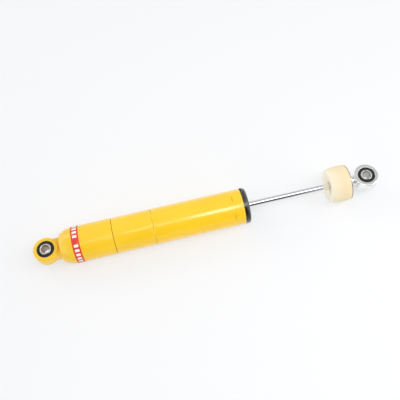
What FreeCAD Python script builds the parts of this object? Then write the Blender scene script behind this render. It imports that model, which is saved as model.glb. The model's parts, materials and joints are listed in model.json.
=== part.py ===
"""Eye-to-eye twin-tube damper for a racing car, fully extended, lying on its side.

Millimetres. The origin is the centre of the lower eye. +X runs along the rod towards the
upper eye, and +Z is the axis of both eyes, so the bolts stand upright.
"""
import FreeCAD
import Part
import Sketcher
import math
import operator
import os

from FreeCAD import Placement, Rotation, Vector

# Driving dimensions, in millimetres, degrees or plain counts.
SIZES = {
    # Eyes, rubbers and sleeves, alike at both ends
    "eye_radius": 20.5,
    "eye_bore_radius": 14.3,
    "eye_width": 20.0,
    "eye_edge": 1.2,
    "sleeve_radius": 9.25,
    "sleeve_bore_radius": 7.1,
    "sleeve_overhang": 1.0,
    "sleeve_edge": 0.6,
    "bush_groove_depth": 1.6,
    "bush_groove_width": 2.6,
    "sleeve_clearance": 0.05,
    # Neck between the lower eye and the base
    "neck_half_width": 16.5,
    "neck_thickness": 16.0,
    "neck_blend": 7.0,
    "base_reach": 24.5,
    # Body: base cup below, reservoir tube above
    "body_radius": 30.0,
    "body_wall": 3.0,
    "cup_length": 87.8,
    "cup_bottom": 7.5,
    "cup_floor_radius": 22.0,
    "cup_face_radius": 22.5,
    "cup_shoulder": 20.0,
    "cup_shoulder_facets": 3,
    "spigot_length": 15.0,
    "spigot_wall": 1.5,
    "spigot_clearance": 0.02,
    "joint_gap": 0.8,
    "tube_length": 215.5,
    "mouth_roll": 5.0,
    "mouth_drop": 0.9,
    "mouth_edge": 0.4,
    "roll_width": 3.2,
    "roll_depth": 0.8,
    "roll_from_joint": 65.0,
    "dent_width": 4.0,
    "dent_depth": 1.0,
    "dent_from_end": 16.7,
    "dent_count": 6,
    "dent_turn": -5.0,
    "band_start": 21.7,
    "band_width": 12.3,
    "band_thickness": 0.2,
    "band_clearance": 0.02,
    # Working cylinder
    "cylinder_bore_radius": 18.0,
    "cylinder_wall": 1.5,
    "seat_clearance": 0.03,
    # Gland nut and what it clamps
    "nut_skirt": 14.0,
    "nut_flange": 9.0,
    "nut_flange_inset": 0.2,
    "nut_edge": 4.0,
    "nut_web": 5.0,
    "nut_rod_clearance": 0.8,
    "nut_slot_width": 14.0,
    "nut_slot_length": 3.0,
    "nut_slot_depth": 5.0,
    "nut_slot_count": 4,
    "nut_turn": 42.0,
    "wiper_radius": 10.0,
    "wiper_lip": 1.2,
    "seal_radius": 17.6,
    "seal_height": 10.0,
    "seal_lip_relief": 1.0,
    "seal_washer_thickness": 2.0,
    # Rod guide
    "guide_flange": 9.0,
    "guide_spigot": 11.0,
    "guide_bush_wall": 1.0,
    "guide_bush_inset": 1.0,
    "ring_section": 3.0,
    "ring_groove_start": 1.2,
    "ring_groove_width": 3.3,
    "ring_groove_depth": 2.6,
    "running_clearance": 0.03,
    # Rod and what it carries
    "rod_radius": 5.0,
    "rod_exposed": 139.4,
    "tenon_radius": 4.0,
    "tenon_clearance": 0.05,
    "top_tenon": 9.0,
    "rod_point": 1.5,
    "stop_gap": 0.3,
    "stop_radius": 11.0,
    "stop_length": 12.0,
    "clip_thickness": 1.5,
    "clip_radius": 7.0,
    "clip_groove_depth": 0.8,
    "clip_opening": 5.0,
    "clip_above_shoulder": 10.0,
    # Bump stop, its washer and the shank of the upper eye
    "bump_length": 32.5,
    "bump_belly_radius": 30.3,
    "bump_belly_from_seat": 12.0,
    "bump_back_radius": 29.3,
    "bump_back_bulge": 0.25,
    "bump_edge": 1.0,
    "bump_edge_bulge": 0.2,
    "bump_rim_radius": 25.5,
    "bump_rim_width": 2.0,
    "bump_rim_height": 2.5,
    "bump_rim_bulge": 0.5,
    "bump_side_bulge": 0.57,
    "bump_dish_depth": 3.0,
    "bump_dish_bulge": 0.5,
    "bump_pocket_depth": 9.0,
    "bump_pocket_radius": 8.5,
    "bump_clearance": 0.1,
    "washer_radius": 29.0,
    "washer_flange": 1.2,
    "washer_collar_radius": 15.0,
    "washer_thickness": 8.5,
    "washer_bevel": 2.0,
    "washer_bevel_rise": 4.0,
    "shank_radius": 6.5,
    "shank_reach": 25.0,
    "shank_blend": 3.0,
    # Piston stack
    "piston_length": 16.0,
    "piston_gap": 0.4,
    "piston_band_width": 8.0,
    "piston_band_depth": 1.6,
    "piston_band_split": 1.0,
    "piston_washer_thickness": 1.6,
    "piston_washer_radius": 6.5,
    "piston_nut_flats": 13.0,
    "piston_nut_height": 6.5,
    # Foot valve stack
    "foot_feet": 4.0,
    "foot_flange": 4.0,
    "foot_flange_radius": 21.0,
    "foot_spigot": 6.0,
    "foot_ring_wall": 5.0,
    "foot_slot_width": 8.0,
    "foot_slot_count": 4,
    "foot_bolt_radius": 3.0,
    "foot_nut_flats": 10.0,
    "foot_nut_height": 2.4,
    # Plate valves and shims, alike on the piston and the foot valve
    "plate_radius": 16.2,
    "plate_thickness": 1.0,
    "plate_clearance": 0.1,
    "collar_radius": 6.4,
    "collar_height": 5.0,
    "stop_plate_radius": 12.0,
    "stop_plate_thickness": 2.0,
    "spring_gauge": 0.4,
    "spring_foot_radius": 13.5,
    "spring_head_radius": 9.0,
    "spring_slot_width": 2.0,
    "spring_slot_count": 6,
    "outer_port_circle": 13.8,
    "outer_port_radius": 1.7,
    "inner_port_circle": 9.0,
    "inner_port_radius": 1.3,
    "port_count": 6,
    "shim_radius": 11.5,
    "shim_step": 1.6,
    "shim_thickness": 0.4,
    "shim_count": 3,
}

SHEET_NAME = "Sizes"
OPERATIONS = {"+": operator.add, "-": operator.sub, "*": operator.mul, "/": operator.truediv}
MATCH = 1e-4


class Length:
    """A size that knows its value now and the sheet expression that gives it."""

    def __init__(self, text, value):
        self.text = text
        self.value = value

    def __add__(self, other):
        return combined(self, "+", other)

    def __radd__(self, other):
        return combined(other, "+", self)

    def __sub__(self, other):
        return combined(self, "-", other)

    def __rsub__(self, other):
        return combined(other, "-", self)

    def __mul__(self, other):
        return combined(self, "*", other)

    def __rmul__(self, other):
        return combined(other, "*", self)

    def __truediv__(self, other):
        return combined(self, "/", other)

    def __neg__(self):
        return combined(0, "-", self)


def as_length(number):
    """The number itself if it is a Length, and otherwise a Length of that plain number."""
    if isinstance(number, Length):
        return number
    return Length(repr(number), number)


def combined(left, sign, right):
    """One arithmetic step on two sizes, done on their values and on their expressions."""
    left = as_length(left)
    right = as_length(right)
    return Length(f"({left.text} {sign} {right.text})", OPERATIONS[sign](left.value, right.value))


document = FreeCAD.newDocument("damper")
sheet = document.addObject("Spreadsheet::Sheet", SHEET_NAME)
for row, (alias, number) in enumerate(SIZES.items(), start=1):
    sheet.set(f"A{row}", alias.replace("_", " "))
    sheet.set(f"B{row}", str(number))
    sheet.setAlias(f"B{row}", alias)
document.recompute()


class Sheet:
    """Reads a driving dimension by its name, such as size.body_radius."""

    def __getattr__(self, alias):
        return Length(f"{SHEET_NAME}.{alias}", SIZES[alias])


size = Sheet()

# Radii that several pieces share
tube_bore_radius = size.body_radius - size.body_wall
spigot_radius = tube_bore_radius + size.spigot_wall
cylinder_radius = size.cylinder_bore_radius + size.cylinder_wall
guide_radius = tube_bore_radius - size.seat_clearance
cylinder_seat_radius = size.cylinder_bore_radius - size.seat_clearance
running_radius = size.rod_radius + size.running_clearance
tenon_bore_radius = size.tenon_radius + size.tenon_clearance
groove_radius = cylinder_seat_radius - size.piston_gap - size.piston_band_depth

# Stations along the body, from the lower eye
cup_floor = size.base_reach + size.cup_bottom
cup_end = size.base_reach + size.cup_length
spigot_start = cup_end - size.spigot_length
tube_start = cup_end + size.joint_gap
tube_end = tube_start + size.tube_length
nut_face = tube_end + size.nut_flange
guide_top = tube_end - size.nut_skirt
cylinder_end = guide_top - size.guide_flange
guide_bottom = cylinder_end - size.guide_spigot
cylinder_start = cup_floor + size.foot_feet + size.foot_flange
foot_top = cylinder_start + size.foot_spigot

# Stations along the rod, fully out
stop_start = guide_bottom - size.stop_gap - size.stop_length
clip_start = stop_start - size.clip_thickness
rod_shoulder = clip_start - size.clip_above_shoulder
stop_plate_start = rod_shoulder - size.stop_plate_thickness
piston_top = stop_plate_start - size.collar_height
piston_start = piston_top - size.piston_length
shims_start = piston_start - size.shim_thickness * size.shim_count
piston_washer_start = shims_start - size.piston_washer_thickness
piston_nut_start = piston_washer_start - size.piston_nut_height
rod_end = piston_nut_start - size.rod_point
bump_start = nut_face + size.rod_exposed
bump_seat = bump_start + size.bump_length
shank_end = bump_seat + size.washer_thickness
upper_eye_station = shank_end + size.shank_reach


def new_body(label, station=0):
    """An empty body of that name, placed along the damper's axis."""
    body = document.addObject("PartDesign::Body", label)
    body.Label = label
    body.setExpression("Placement.Base.x", as_length(station).text)
    return body


def origin_part(body, role):
    """One of the body's own base planes or axes."""
    return next(part for part in body.Origin.OriginFeatures if part.Role == role)


def new_sketch(body, name, plane, lift=0):
    """An empty sketch on one of the body's base planes, lifted off it by that much."""
    sketch = body.newObject("Sketcher::SketchObject", name)
    sketch.AttachmentSupport = [(origin_part(body, plane), "")]
    sketch.MapMode = "FlatFace"
    sketch.setExpression("AttachmentOffset.Base.z", as_length(lift).text)
    return sketch


def tie(sketch, kind, where, number):
    """A dimension of the sketch that follows the sheet."""
    number = as_length(number)
    index = sketch.addConstraint(Sketcher.Constraint(kind, *where, number.value))
    sketch.setExpression(f"Constraints[{index}]", number.text)


def tie_point(sketch, curve, end, across, up):
    """Fixes one end of a curve, or the centre of a circle, at a place in the sketch."""
    for kind, axis, number in (("DistanceX", -2, across), ("DistanceY", -1, up)):
        number = as_length(number)
        if number.value == 0:
            sketch.addConstraint(Sketcher.Constraint("PointOnObject", curve, end, axis))
        else:
            tie(sketch, kind, (-1, 1, curve, end), number)


def add_circle(sketch, radius, across=0, up=0):
    """A circle in a sketch, its radius and centre tied to the sheet."""
    across = as_length(across)
    up = as_length(up)
    centre = Vector(across.value, up.value, 0)
    index = sketch.addGeometry(Part.Circle(centre, Vector(0, 0, 1), radius.value))
    tie(sketch, "Radius", (index,), radius)
    tie_point(sketch, index, 3, across, up)


def bulge_radius(here, there, height):
    """Radius of the arc between two corners that stands that far off their chord."""
    run = there[0] - here[0]
    rise = there[1] - here[1]
    return ((run * run + rise * rise) / 4 + height * height) / (2 * height)


def add_outline(sketch, corners):
    """A closed outline of straight runs and arcs.

    A corner is (across, up), or (across, up, bulge) where an arc runs on from it to the next
    corner and stands off the chord by bulge, on the left of the way round.
    """
    corners = [tuple(as_length(number) for number in corner) for corner in corners]
    count = len(corners)
    spots = [Vector(corner[0].value, corner[1].value, 0) for corner in corners]
    starts = []
    for number, corner in enumerate(corners):
        here = spots[number]
        there = spots[(number + 1) % count]
        if len(corner) == 2:
            index = sketch.addGeometry(Part.LineSegment(here, there))
            starts.append((index, 1, 2))
        else:
            left = Vector(here.y - there.y, there.x - here.x, 0).normalize()
            middle = (here + there) * 0.5 + left * corner[2].value
            index = sketch.addGeometry(Part.Arc(here, middle, there))
            # The ends of a sketched arc are counted anticlockwise, and a bulge to the left is clockwise.
            starts.append((index, 2, 1))
    for number, (index, first, last) in enumerate(starts):
        following, first_of_next, _ = starts[(number + 1) % count]
        sketch.addConstraint(Sketcher.Constraint("Coincident", index, last, following, first_of_next))
        tie_point(sketch, index, first, corners[number][0], corners[number][1])
        if len(corners[number]) == 3:
            bulge = corners[number][2]
            radius = bulge_radius(corners[number], corners[(number + 1) % count], bulge)
            tie(sketch, "Radius", (index,), radius)


def turn(body, name, corners, axis="H_Axis", kind="PartDesign::Revolution"):
    """Turns an outline in the XZ plane about the X axis, or about Z with V_Axis."""
    sketch = new_sketch(body, name + "_outline", "XZ_Plane")
    add_outline(sketch, corners)
    turned = body.newObject(kind, name)
    turned.Profile = sketch
    turned.ReferenceAxis = (sketch, [axis])
    turned.Angle = 360
    return turned


def turned_body(label, station, corners):
    """A body of that name, turned about the damper's axis."""
    body = new_body(label, station)
    turn(body, label + "_turned", corners)
    return body


def pad(body, name, sketch, length):
    """Thickens a sketch evenly to both sides of its plane."""
    padded = body.newObject("PartDesign::Pad", name)
    padded.Profile = sketch
    padded.SideType = "Symmetric"
    padded.setExpression("Length", as_length(length).text)
    return padded


def cut_through(body, name, sketch):
    """Cuts a sketch through everything on both sides of its plane."""
    before = solid_volume(body)
    pocket = body.newObject("PartDesign::Pocket", name)
    pocket.Profile = sketch
    pocket.Type = "ThroughAll"
    pocket.SideType = "Symmetric"
    confirm_cut(body, before)
    return pocket


def cut_outwards(body, name, sketch):
    """Cuts a sketch away from the axis, from its plane out through the skin."""
    before = solid_volume(body)
    pocket = body.newObject("PartDesign::Pocket", name)
    pocket.Profile = sketch
    pocket.Type = "ThroughAll"
    pocket.Reversed = True
    confirm_cut(body, before)
    return pocket


def repeat_round(body, name, feature, count):
    """Repeats a feature evenly round the damper's axis."""
    before = solid_volume(body)
    pattern = body.newObject("PartDesign::PolarPattern", name)
    pattern.Originals = [feature]
    pattern.Axis = (origin_part(body, "X_Axis"), [""])
    pattern.Angle = 360
    pattern.setExpression("Occurrences", count.text)
    body.Tip = pattern
    confirm_cut(body, before)
    return pattern


def turn_round(body, angle):
    """Turns a body about the damper's axis, by an angle from the sheet."""
    body.Placement = Placement(body.Placement.Base, Rotation(Vector(1, 0, 0), angle.value))
    body.setExpression("Placement.Rotation.Angle", angle.text)


def solid_volume(body):
    """Volume of the body as it stands."""
    document.recompute()
    return body.Shape.Volume


def confirm_cut(body, before):
    """Stops if the last cut took nothing away."""
    if solid_volume(body) > before - MATCH:
        raise RuntimeError(f"a cut in {body.Label} removed nothing")


def round_rims(body, name, feature, radius, rims):
    """Rounds the circular edges that lie at those places along the axis, at those radii."""
    document.recompute()
    edges = []
    for index, edge in enumerate(feature.Shape.Edges, start=1):
        if not isinstance(edge.Curve, Part.Circle):
            continue
        for along, rim_radius in rims:
            at_station = abs(edge.Curve.Center.x - as_length(along).value) < MATCH
            if at_station and abs(edge.Curve.Radius - rim_radius.value) < MATCH:
                edges.append(f"Edge{index}")
    return dress_edges(body, "PartDesign::Fillet", name, feature, edges, "Radius", radius)


def dress_edges(body, kind, name, feature, edges, property_name, amount):
    """Adds a fillet or chamfer of that size to the named edges."""
    if not edges:
        raise RuntimeError(f"no edges found for {name}")
    dressed = body.newObject(kind, name)
    dressed.Base = (feature, edges)
    dressed.setExpression(property_name, amount.text)
    return dressed


def drill_ring(body, name, hole_radius, circle_radius, count):
    """Drills holes along the axis, evenly spaced on a circle round it."""
    sketch = new_sketch(body, name + "_outline", "YZ_Plane")
    add_circle(sketch, hole_radius, 0, circle_radius)
    hole = cut_through(body, name, sketch)
    return repeat_round(body, name + "_ring", hole, count)


def make_sleeve(label, station):
    """Steel sleeve that takes the bolt of an eye."""
    half = size.eye_width / 2 + size.sleeve_overhang
    bore = size.sleeve_bore_radius
    edge = size.sleeve_edge
    body = new_body(label, station)
    turn(body, label + "_turned", [
        (bore, edge - half),
        (bore + edge, -half),
        (size.sleeve_radius - edge, -half),
        (size.sleeve_radius, edge - half),
        (size.sleeve_radius, half - edge),
        (size.sleeve_radius - edge, half),
        (bore + edge, half),
        (bore, half - edge),
    ], axis="V_Axis")
    return body


def make_bush(label, station):
    """Rubber of an eye, with a moulded groove in both end faces."""
    half = size.eye_width / 2
    inner = size.sleeve_radius + size.sleeve_clearance
    outer = size.eye_bore_radius
    middle = (inner + outer) / 2
    side = size.bush_groove_width / 2
    depth = size.bush_groove_depth
    body = new_body(label, station)
    turn(body, label + "_turned", [
        (inner, -half),
        (middle - side, -half),
        (middle, depth - half),
        (middle + side, -half),
        (outer, -half),
        (outer, half),
        (middle + side, half),
        (middle, half - depth),
        (middle - side, half),
        (inner, half),
    ], axis="V_Axis")
    return body


def eye_ring(body):
    """The ring of an eye, before its bore."""
    sketch = new_sketch(body, "ring_outline", "XY_Plane")
    add_circle(sketch, size.eye_radius)
    return pad(body, "ring", sketch, size.eye_width)


def bore_eye(body):
    """Bores an eye and breaks the sharp edges of its two faces."""
    sketch = new_sketch(body, "bore_outline", "XY_Plane")
    add_circle(sketch, size.eye_bore_radius)
    bore = cut_through(body, "bore", sketch)
    half = size.eye_width.value / 2
    rims = []
    for index, edge in enumerate(bore.Shape.Edges, start=1):
        if isinstance(edge.Curve, Part.Circle):
            on_face = abs(abs(edge.Curve.Center.z) - half) < MATCH
            if on_face and abs(edge.Curve.Radius - size.eye_radius.value) < MATCH:
                rims.append(f"Edge{index}")
    return dress_edges(body, "PartDesign::Chamfer", "ring_edges", bore, rims, "Size", size.eye_edge)


def make_lower_eye():
    """Painted eye with a flat-sided neck that stands on the base."""
    body = new_body("lower_eye")
    eye_ring(body)
    sketch = new_sketch(body, "neck_outline", "XY_Plane")
    add_outline(sketch, [
        (0, -size.neck_half_width),
        (size.base_reach, -size.neck_half_width),
        (size.base_reach, size.neck_half_width),
        (0, size.neck_half_width),
    ])
    neck = pad(body, "neck", sketch, size.neck_thickness)
    document.recompute()
    waist = math.sqrt(size.eye_radius.value ** 2 - size.neck_half_width.value ** 2)
    corners = []
    for index, edge in enumerate(neck.Shape.Edges, start=1):
        spot = edge.CenterOfMass
        at_waist = abs(spot.x - waist) < MATCH and abs(abs(spot.y) - size.neck_half_width.value) < MATCH
        if at_waist and abs(spot.z) < MATCH:
            corners.append(f"Edge{index}")
    dress_edges(body, "PartDesign::Fillet", "neck_blend", neck, corners, "Radius", size.neck_blend)
    bore_eye(body)
    return body


def make_upper_eye():
    """Plated eye with a round shank, threaded for the rod's upper tenon."""
    body = new_body("upper_eye", upper_eye_station)
    body.Placement = Placement(Vector(upper_eye_station.value, 0, 0), Rotation(Vector(0, 0, 1), 180))
    eye_ring(body)
    shank_start = (size.eye_bore_radius + size.eye_radius) / 2
    shank = turn(body, "shank", [
        (shank_start, 0),
        (size.shank_reach, 0),
        (size.shank_reach, size.shank_radius),
        (shank_start, size.shank_radius),
    ])
    document.recompute()
    root = []
    for index, edge in enumerate(shank.Shape.Edges, start=1):
        spot = edge.valueAt((edge.FirstParameter + edge.LastParameter) / 2)
        on_ring = abs(math.hypot(spot.x, spot.y) - size.eye_radius.value) < MATCH
        on_shank = abs(math.hypot(spot.y, spot.z) - size.shank_radius.value) < MATCH
        if on_ring and on_shank:
            root.append(f"Edge{index}")
    dress_edges(body, "PartDesign::Fillet", "shank_root", shank, root, "Radius", size.shank_blend)
    before = solid_volume(body)
    turn(body, "thread_hole", [
        (size.shank_reach - size.top_tenon, 0),
        (size.shank_reach, 0),
        (size.shank_reach, tenon_bore_radius),
        (size.shank_reach - size.top_tenon, tenon_bore_radius),
    ], kind="PartDesign::Groove")
    confirm_cut(body, before)
    bore_eye(body)
    return body


def make_base_cup():
    """Closed lower length of the body: flat end, rolled shoulder in facets, bored for the spigot."""
    facets = SIZES["cup_shoulder_facets"]
    rise = size.body_radius - size.cup_face_radius
    shoulder = []
    for step in range(facets + 1):
        share = step / facets
        height = math.sin(share * math.pi / 2)
        shoulder.append((size.cup_shoulder * share, size.cup_face_radius + rise * height))
    counterbore = size.cup_length - size.spigot_length
    return turned_body("base_cup", size.base_reach, [(0, 0)] + shoulder + [
        (size.cup_length, size.body_radius),
        (size.cup_length, spigot_radius),
        (counterbore, spigot_radius),
        (counterbore, tube_bore_radius),
        (size.cup_shoulder, tube_bore_radius),
        (size.cup_bottom, size.cup_floor_radius),
        (size.cup_bottom, 0),
    ])


def make_reservoir_tube():
    """Upper length of the body: spigot in the cup, rolled groove, staked dents and rolled-in mouth."""
    skin = size.spigot_length + size.joint_gap
    end = skin + size.tube_length
    mouth_radius = size.body_radius - size.mouth_drop
    body = new_body("reservoir_tube", spigot_start)
    tube = turn(body, "tube", [
        (0, tube_bore_radius),
        (0, spigot_radius - size.spigot_clearance),
        (skin, spigot_radius - size.spigot_clearance),
        (skin, size.body_radius),
        (end - size.mouth_roll, size.body_radius, size.mouth_drop / 4),
        (end, mouth_radius),
        (end, tube_bore_radius),
    ])
    round_rims(body, "mouth_edge", tube, size.mouth_edge, [(end, mouth_radius)])
    before = solid_volume(body)
    wheel = press_outline(body, "wheel", skin + size.roll_from_joint, size.roll_width, size.roll_depth)
    roll = body.newObject("PartDesign::Groove", "roll")
    roll.Profile = wheel
    roll.ReferenceAxis = (wheel, ["H_Axis"])
    roll.Angle = 360
    confirm_cut(body, before)
    bar = press_outline(body, "bar", end - size.dent_from_end, size.dent_width, size.dent_depth)
    dent = cut_through(body, "dent", bar)
    repeat_round(body, "dents", dent, size.dent_count)
    turn_round(body, size.dent_turn)
    return body


def press_outline(body, name, station, width, depth):
    """Round section of a tool that presses a mark of that width and depth into the body's skin."""
    half = width / 2
    tool_radius = (half * half + depth * depth) / (2 * depth)
    sketch = new_sketch(body, name + "_outline", "XZ_Plane")
    add_circle(sketch, tool_radius, station, size.body_radius + tool_radius - depth)
    return sketch


def make_label_band():
    """Thin band wrapped round the base cup."""
    inner = size.body_radius + size.band_clearance
    return turned_body("label_band", size.base_reach + size.band_start, [
        (0, inner),
        (0, inner + size.band_thickness),
        (size.band_width, inner + size.band_thickness),
        (size.band_width, inner),
    ])


def make_working_cylinder():
    """Inner tube that the piston runs in."""
    length = cylinder_end - cylinder_start
    return turned_body("working_cylinder", cylinder_start, [
        (0, size.cylinder_bore_radius),
        (0, cylinder_radius),
        (length, cylinder_radius),
        (length, size.cylinder_bore_radius),
    ])


def make_rod_guide():
    """Guide that closes the inner tube, centred in the outer one, with a groove for its ring seal."""
    bore = running_radius + size.guide_bush_wall
    top = size.guide_spigot + size.guide_flange
    groove = size.guide_spigot + size.ring_groove_start
    groove_floor = guide_radius - size.ring_groove_depth
    return turned_body("rod_guide", guide_bottom, [
        (0, bore),
        (0, cylinder_seat_radius),
        (size.guide_spigot, cylinder_seat_radius),
        (size.guide_spigot, guide_radius),
        (groove, guide_radius),
        (groove, groove_floor),
        (groove + size.ring_groove_width, groove_floor),
        (groove + size.ring_groove_width, guide_radius),
        (top, guide_radius),
        (top, bore),
    ])


def make_guide_bush():
    """Plain bearing of the rod, pressed into the guide."""
    length = size.guide_spigot + size.guide_flange - 2 * size.guide_bush_inset
    return turned_body("guide_bush", guide_bottom + size.guide_bush_inset, [
        (0, running_radius),
        (0, running_radius + size.guide_bush_wall),
        (length, running_radius + size.guide_bush_wall),
        (length, running_radius),
    ])


def make_guide_o_ring():
    """Ring seal in the guide's groove, squeezed to the depth of the groove."""
    half_height = size.ring_groove_depth / 2
    half_width = size.ring_section / 2
    corner = half_width / 2
    middle = guide_radius - half_height
    groove = size.ring_groove_start + size.ring_groove_width / 2
    return turned_body("guide_o_ring", cylinder_end + groove, [
        (-half_width, middle),
        (-corner, middle + half_height),
        (corner, middle + half_height),
        (half_width, middle),
        (corner, middle - half_height),
        (-corner, middle - half_height),
    ])


def make_rod_seal():
    """Two-lipped seal that stands on the guide."""
    relief = running_radius + size.seal_lip_relief
    part = size.seal_height / 6
    return turned_body("rod_seal", guide_top, [
        (0, relief),
        (0, size.seal_radius),
        (size.seal_height, size.seal_radius),
        (size.seal_height, relief),
        (size.seal_height - part, running_radius),
        (size.seal_height - 2 * part, relief),
        (2 * part, relief),
        (part, running_radius),
    ])


def make_seal_washer():
    """Steel washer between the seal and the nut."""
    inner = size.rod_radius + size.nut_rod_clearance
    return turned_body("seal_washer", guide_top + size.seal_height, [
        (0, inner),
        (0, size.seal_radius),
        (size.seal_washer_thickness, size.seal_radius),
        (size.seal_washer_thickness, inner),
    ])


def make_gland_nut():
    """Ring nut that clamps the guide and the seal, with spanner slots in its flange."""
    cavity = size.seal_height + size.seal_washer_thickness
    cavity_radius = size.seal_radius + size.seat_clearance
    rod_hole = size.rod_radius + size.nut_rod_clearance
    flange_radius = size.body_radius - size.nut_flange_inset
    face = size.nut_skirt + size.nut_flange
    body = new_body("gland_nut", guide_top)
    nut = turn(body, "nut", [
        (0, cavity_radius),
        (0, guide_radius),
        (size.nut_skirt, guide_radius),
        (size.nut_skirt, flange_radius),
        (face, flange_radius),
        (face, size.wiper_radius),
        (cavity + size.nut_web, size.wiper_radius),
        (cavity + size.nut_web, rod_hole),
        (cavity, rod_hole),
        (cavity, cavity_radius),
    ])
    round_rims(body, "face_edge", nut, size.nut_edge, [(face, flange_radius)])
    half = size.nut_slot_width / 2
    sketch = new_sketch(body, "slot_outline", "XY_Plane", flange_radius - size.nut_slot_depth)
    add_outline(sketch, [
        (size.nut_skirt, -half),
        (size.nut_skirt + size.nut_slot_length, -half),
        (size.nut_skirt + size.nut_slot_length, half),
        (size.nut_skirt, half),
    ])
    slot = cut_outwards(body, "slot", sketch)
    repeat_round(body, "slots", slot, size.nut_slot_count)
    turn_round(body, size.nut_turn)
    return body


def make_wiper_ring():
    """Dust lip that stands a little out of the nut's face."""
    floor = guide_top + size.seal_height + size.seal_washer_thickness + size.nut_web
    height = nut_face - floor
    tip = height + size.wiper_lip
    relief = running_radius + size.seal_lip_relief
    outer = size.wiper_radius - size.seat_clearance
    return turned_body("wiper_ring", floor, [
        (0, relief),
        (0, outer),
        (height, outer),
        (height, (outer + relief) / 2),
        (tip, relief),
        (tip, running_radius),
        (height - size.wiper_lip, relief),
    ])


def make_piston_rod():
    """Chromed rod with a tenon at each end and a groove for the clip under the rebound stop."""
    shoulder = rod_shoulder - rod_end
    groove = clip_start - rod_end
    top = shank_end - rod_end
    groove_floor = size.rod_radius - size.clip_groove_depth
    return turned_body("piston_rod", rod_end, [
        (0, 0),
        (0, size.tenon_radius),
        (shoulder, size.tenon_radius),
        (shoulder, size.rod_radius),
        (groove, size.rod_radius),
        (groove, groove_floor),
        (groove + size.clip_thickness, groove_floor),
        (groove + size.clip_thickness, size.rod_radius),
        (top, size.rod_radius),
        (top, size.tenon_radius),
        (top + size.top_tenon, size.tenon_radius),
        (top + size.top_tenon, 0),
    ])


def make_rebound_stop():
    """Stop ring that meets the guide when the rod is fully out."""
    inner = size.rod_radius + size.tenon_clearance
    return turned_body("rebound_stop", stop_start, [
        (0, inner),
        (0, size.stop_radius),
        (size.stop_length * 3 / 4, size.stop_radius),
        (size.stop_length, (size.stop_radius + inner) / 2),
        (size.stop_length, inner),
    ])


def make_rebound_clip():
    """Open ring in the rod's groove, under the rebound stop."""
    inner = size.rod_radius - size.clip_groove_depth + size.tenon_clearance
    body = new_body("rebound_clip", clip_start)
    turn(body, "clip", [
        (0, inner),
        (0, size.clip_radius),
        (size.clip_thickness, size.clip_radius),
        (size.clip_thickness, inner),
    ])
    cut_gap(body, size.clip_opening, size.clip_radius)
    return body


def cut_gap(body, width, reach):
    """Cuts a ring open on its +Z side."""
    sketch = new_sketch(body, "gap_outline", "YZ_Plane")
    add_outline(sketch, [
        (-width / 2, 0),
        (width / 2, 0),
        (width / 2, reach * 2),
        (-width / 2, reach * 2),
    ])
    return cut_through(body, "gap", sketch)


def make_bump_stop():
    """Foam bump stop: flat seat, barrel side, soft rim and a dished mouth with a pocket round the rod."""
    inner = size.rod_radius + size.bump_clearance
    belly = size.bump_length - size.bump_belly_from_seat
    shoulder_radius = size.bump_rim_radius + size.bump_rim_height
    return turned_body("bump_stop", bump_start, [
        (size.bump_pocket_depth, inner),
        (size.bump_pocket_depth, size.bump_pocket_radius),
        (size.bump_dish_depth, size.bump_pocket_radius, size.bump_dish_bulge),
        (0, size.bump_rim_radius, size.bump_rim_bulge),
        (size.bump_rim_width, shoulder_radius, size.bump_side_bulge),
        (belly, size.bump_belly_radius, size.bump_back_bulge),
        (size.bump_length - size.bump_edge, size.bump_back_radius, size.bump_edge_bulge),
        (size.bump_length, size.bump_back_radius - size.bump_edge),
        (size.bump_length, inner),
    ])


def make_bump_washer():
    """Stop washer behind the foam: a thin plate with a collar, bevelled towards the shank of the eye."""
    inner = size.rod_radius + size.tenon_clearance
    return turned_body("bump_washer", bump_seat, [
        (0, inner),
        (0, size.washer_radius),
        (size.washer_flange, size.washer_radius),
        (size.washer_flange, size.washer_collar_radius),
        (size.washer_thickness - size.washer_bevel, size.washer_collar_radius),
        (size.washer_thickness, size.washer_collar_radius - size.washer_bevel_rise),
        (size.washer_thickness, inner),
    ])


def make_piston():
    """Sintered piston with its band groove, outer ports under the plate and inner ports over the shims."""
    outer = cylinder_seat_radius - size.piston_gap
    side = (size.piston_length - size.piston_band_width) / 2
    body = turned_body("piston", piston_start, [
        (0, tenon_bore_radius),
        (0, outer),
        (side, outer),
        (side, groove_radius),
        (size.piston_length - side, groove_radius),
        (size.piston_length - side, outer),
        (size.piston_length, outer),
        (size.piston_length, tenon_bore_radius),
    ])
    drill_ports(body)
    return body


def drill_ports(body):
    """Drills both rings of oil ports."""
    drill_ring(body, "outer_ports", size.outer_port_radius, size.outer_port_circle, size.port_count)
    drill_ring(body, "inner_ports", size.inner_port_radius, size.inner_port_circle, size.port_count)


def make_piston_band():
    """Split bearing band in the piston's groove."""
    side = (size.piston_length - size.piston_band_width) / 2
    clearance = size.running_clearance
    width = size.piston_band_width - 2 * clearance
    outer = size.cylinder_bore_radius - clearance
    body = new_body("piston_band", piston_start + side + clearance)
    turn(body, "band", [
        (0, groove_radius + clearance),
        (0, outer),
        (width, outer),
        (width, groove_radius + clearance),
    ])
    cut_gap(body, size.piston_band_split, outer)
    return body


def make_check_plate(label, station):
    """Plate valve that lies over the outer ports, holed over the inner ones."""
    inner = size.collar_radius + size.plate_clearance
    body = turned_body(label, station, [
        (0, inner),
        (0, size.plate_radius),
        (size.plate_thickness, size.plate_radius),
        (size.plate_thickness, inner),
    ])
    drill_ring(body, "windows", size.inner_port_radius, size.inner_port_circle, size.port_count)
    return body


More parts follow.
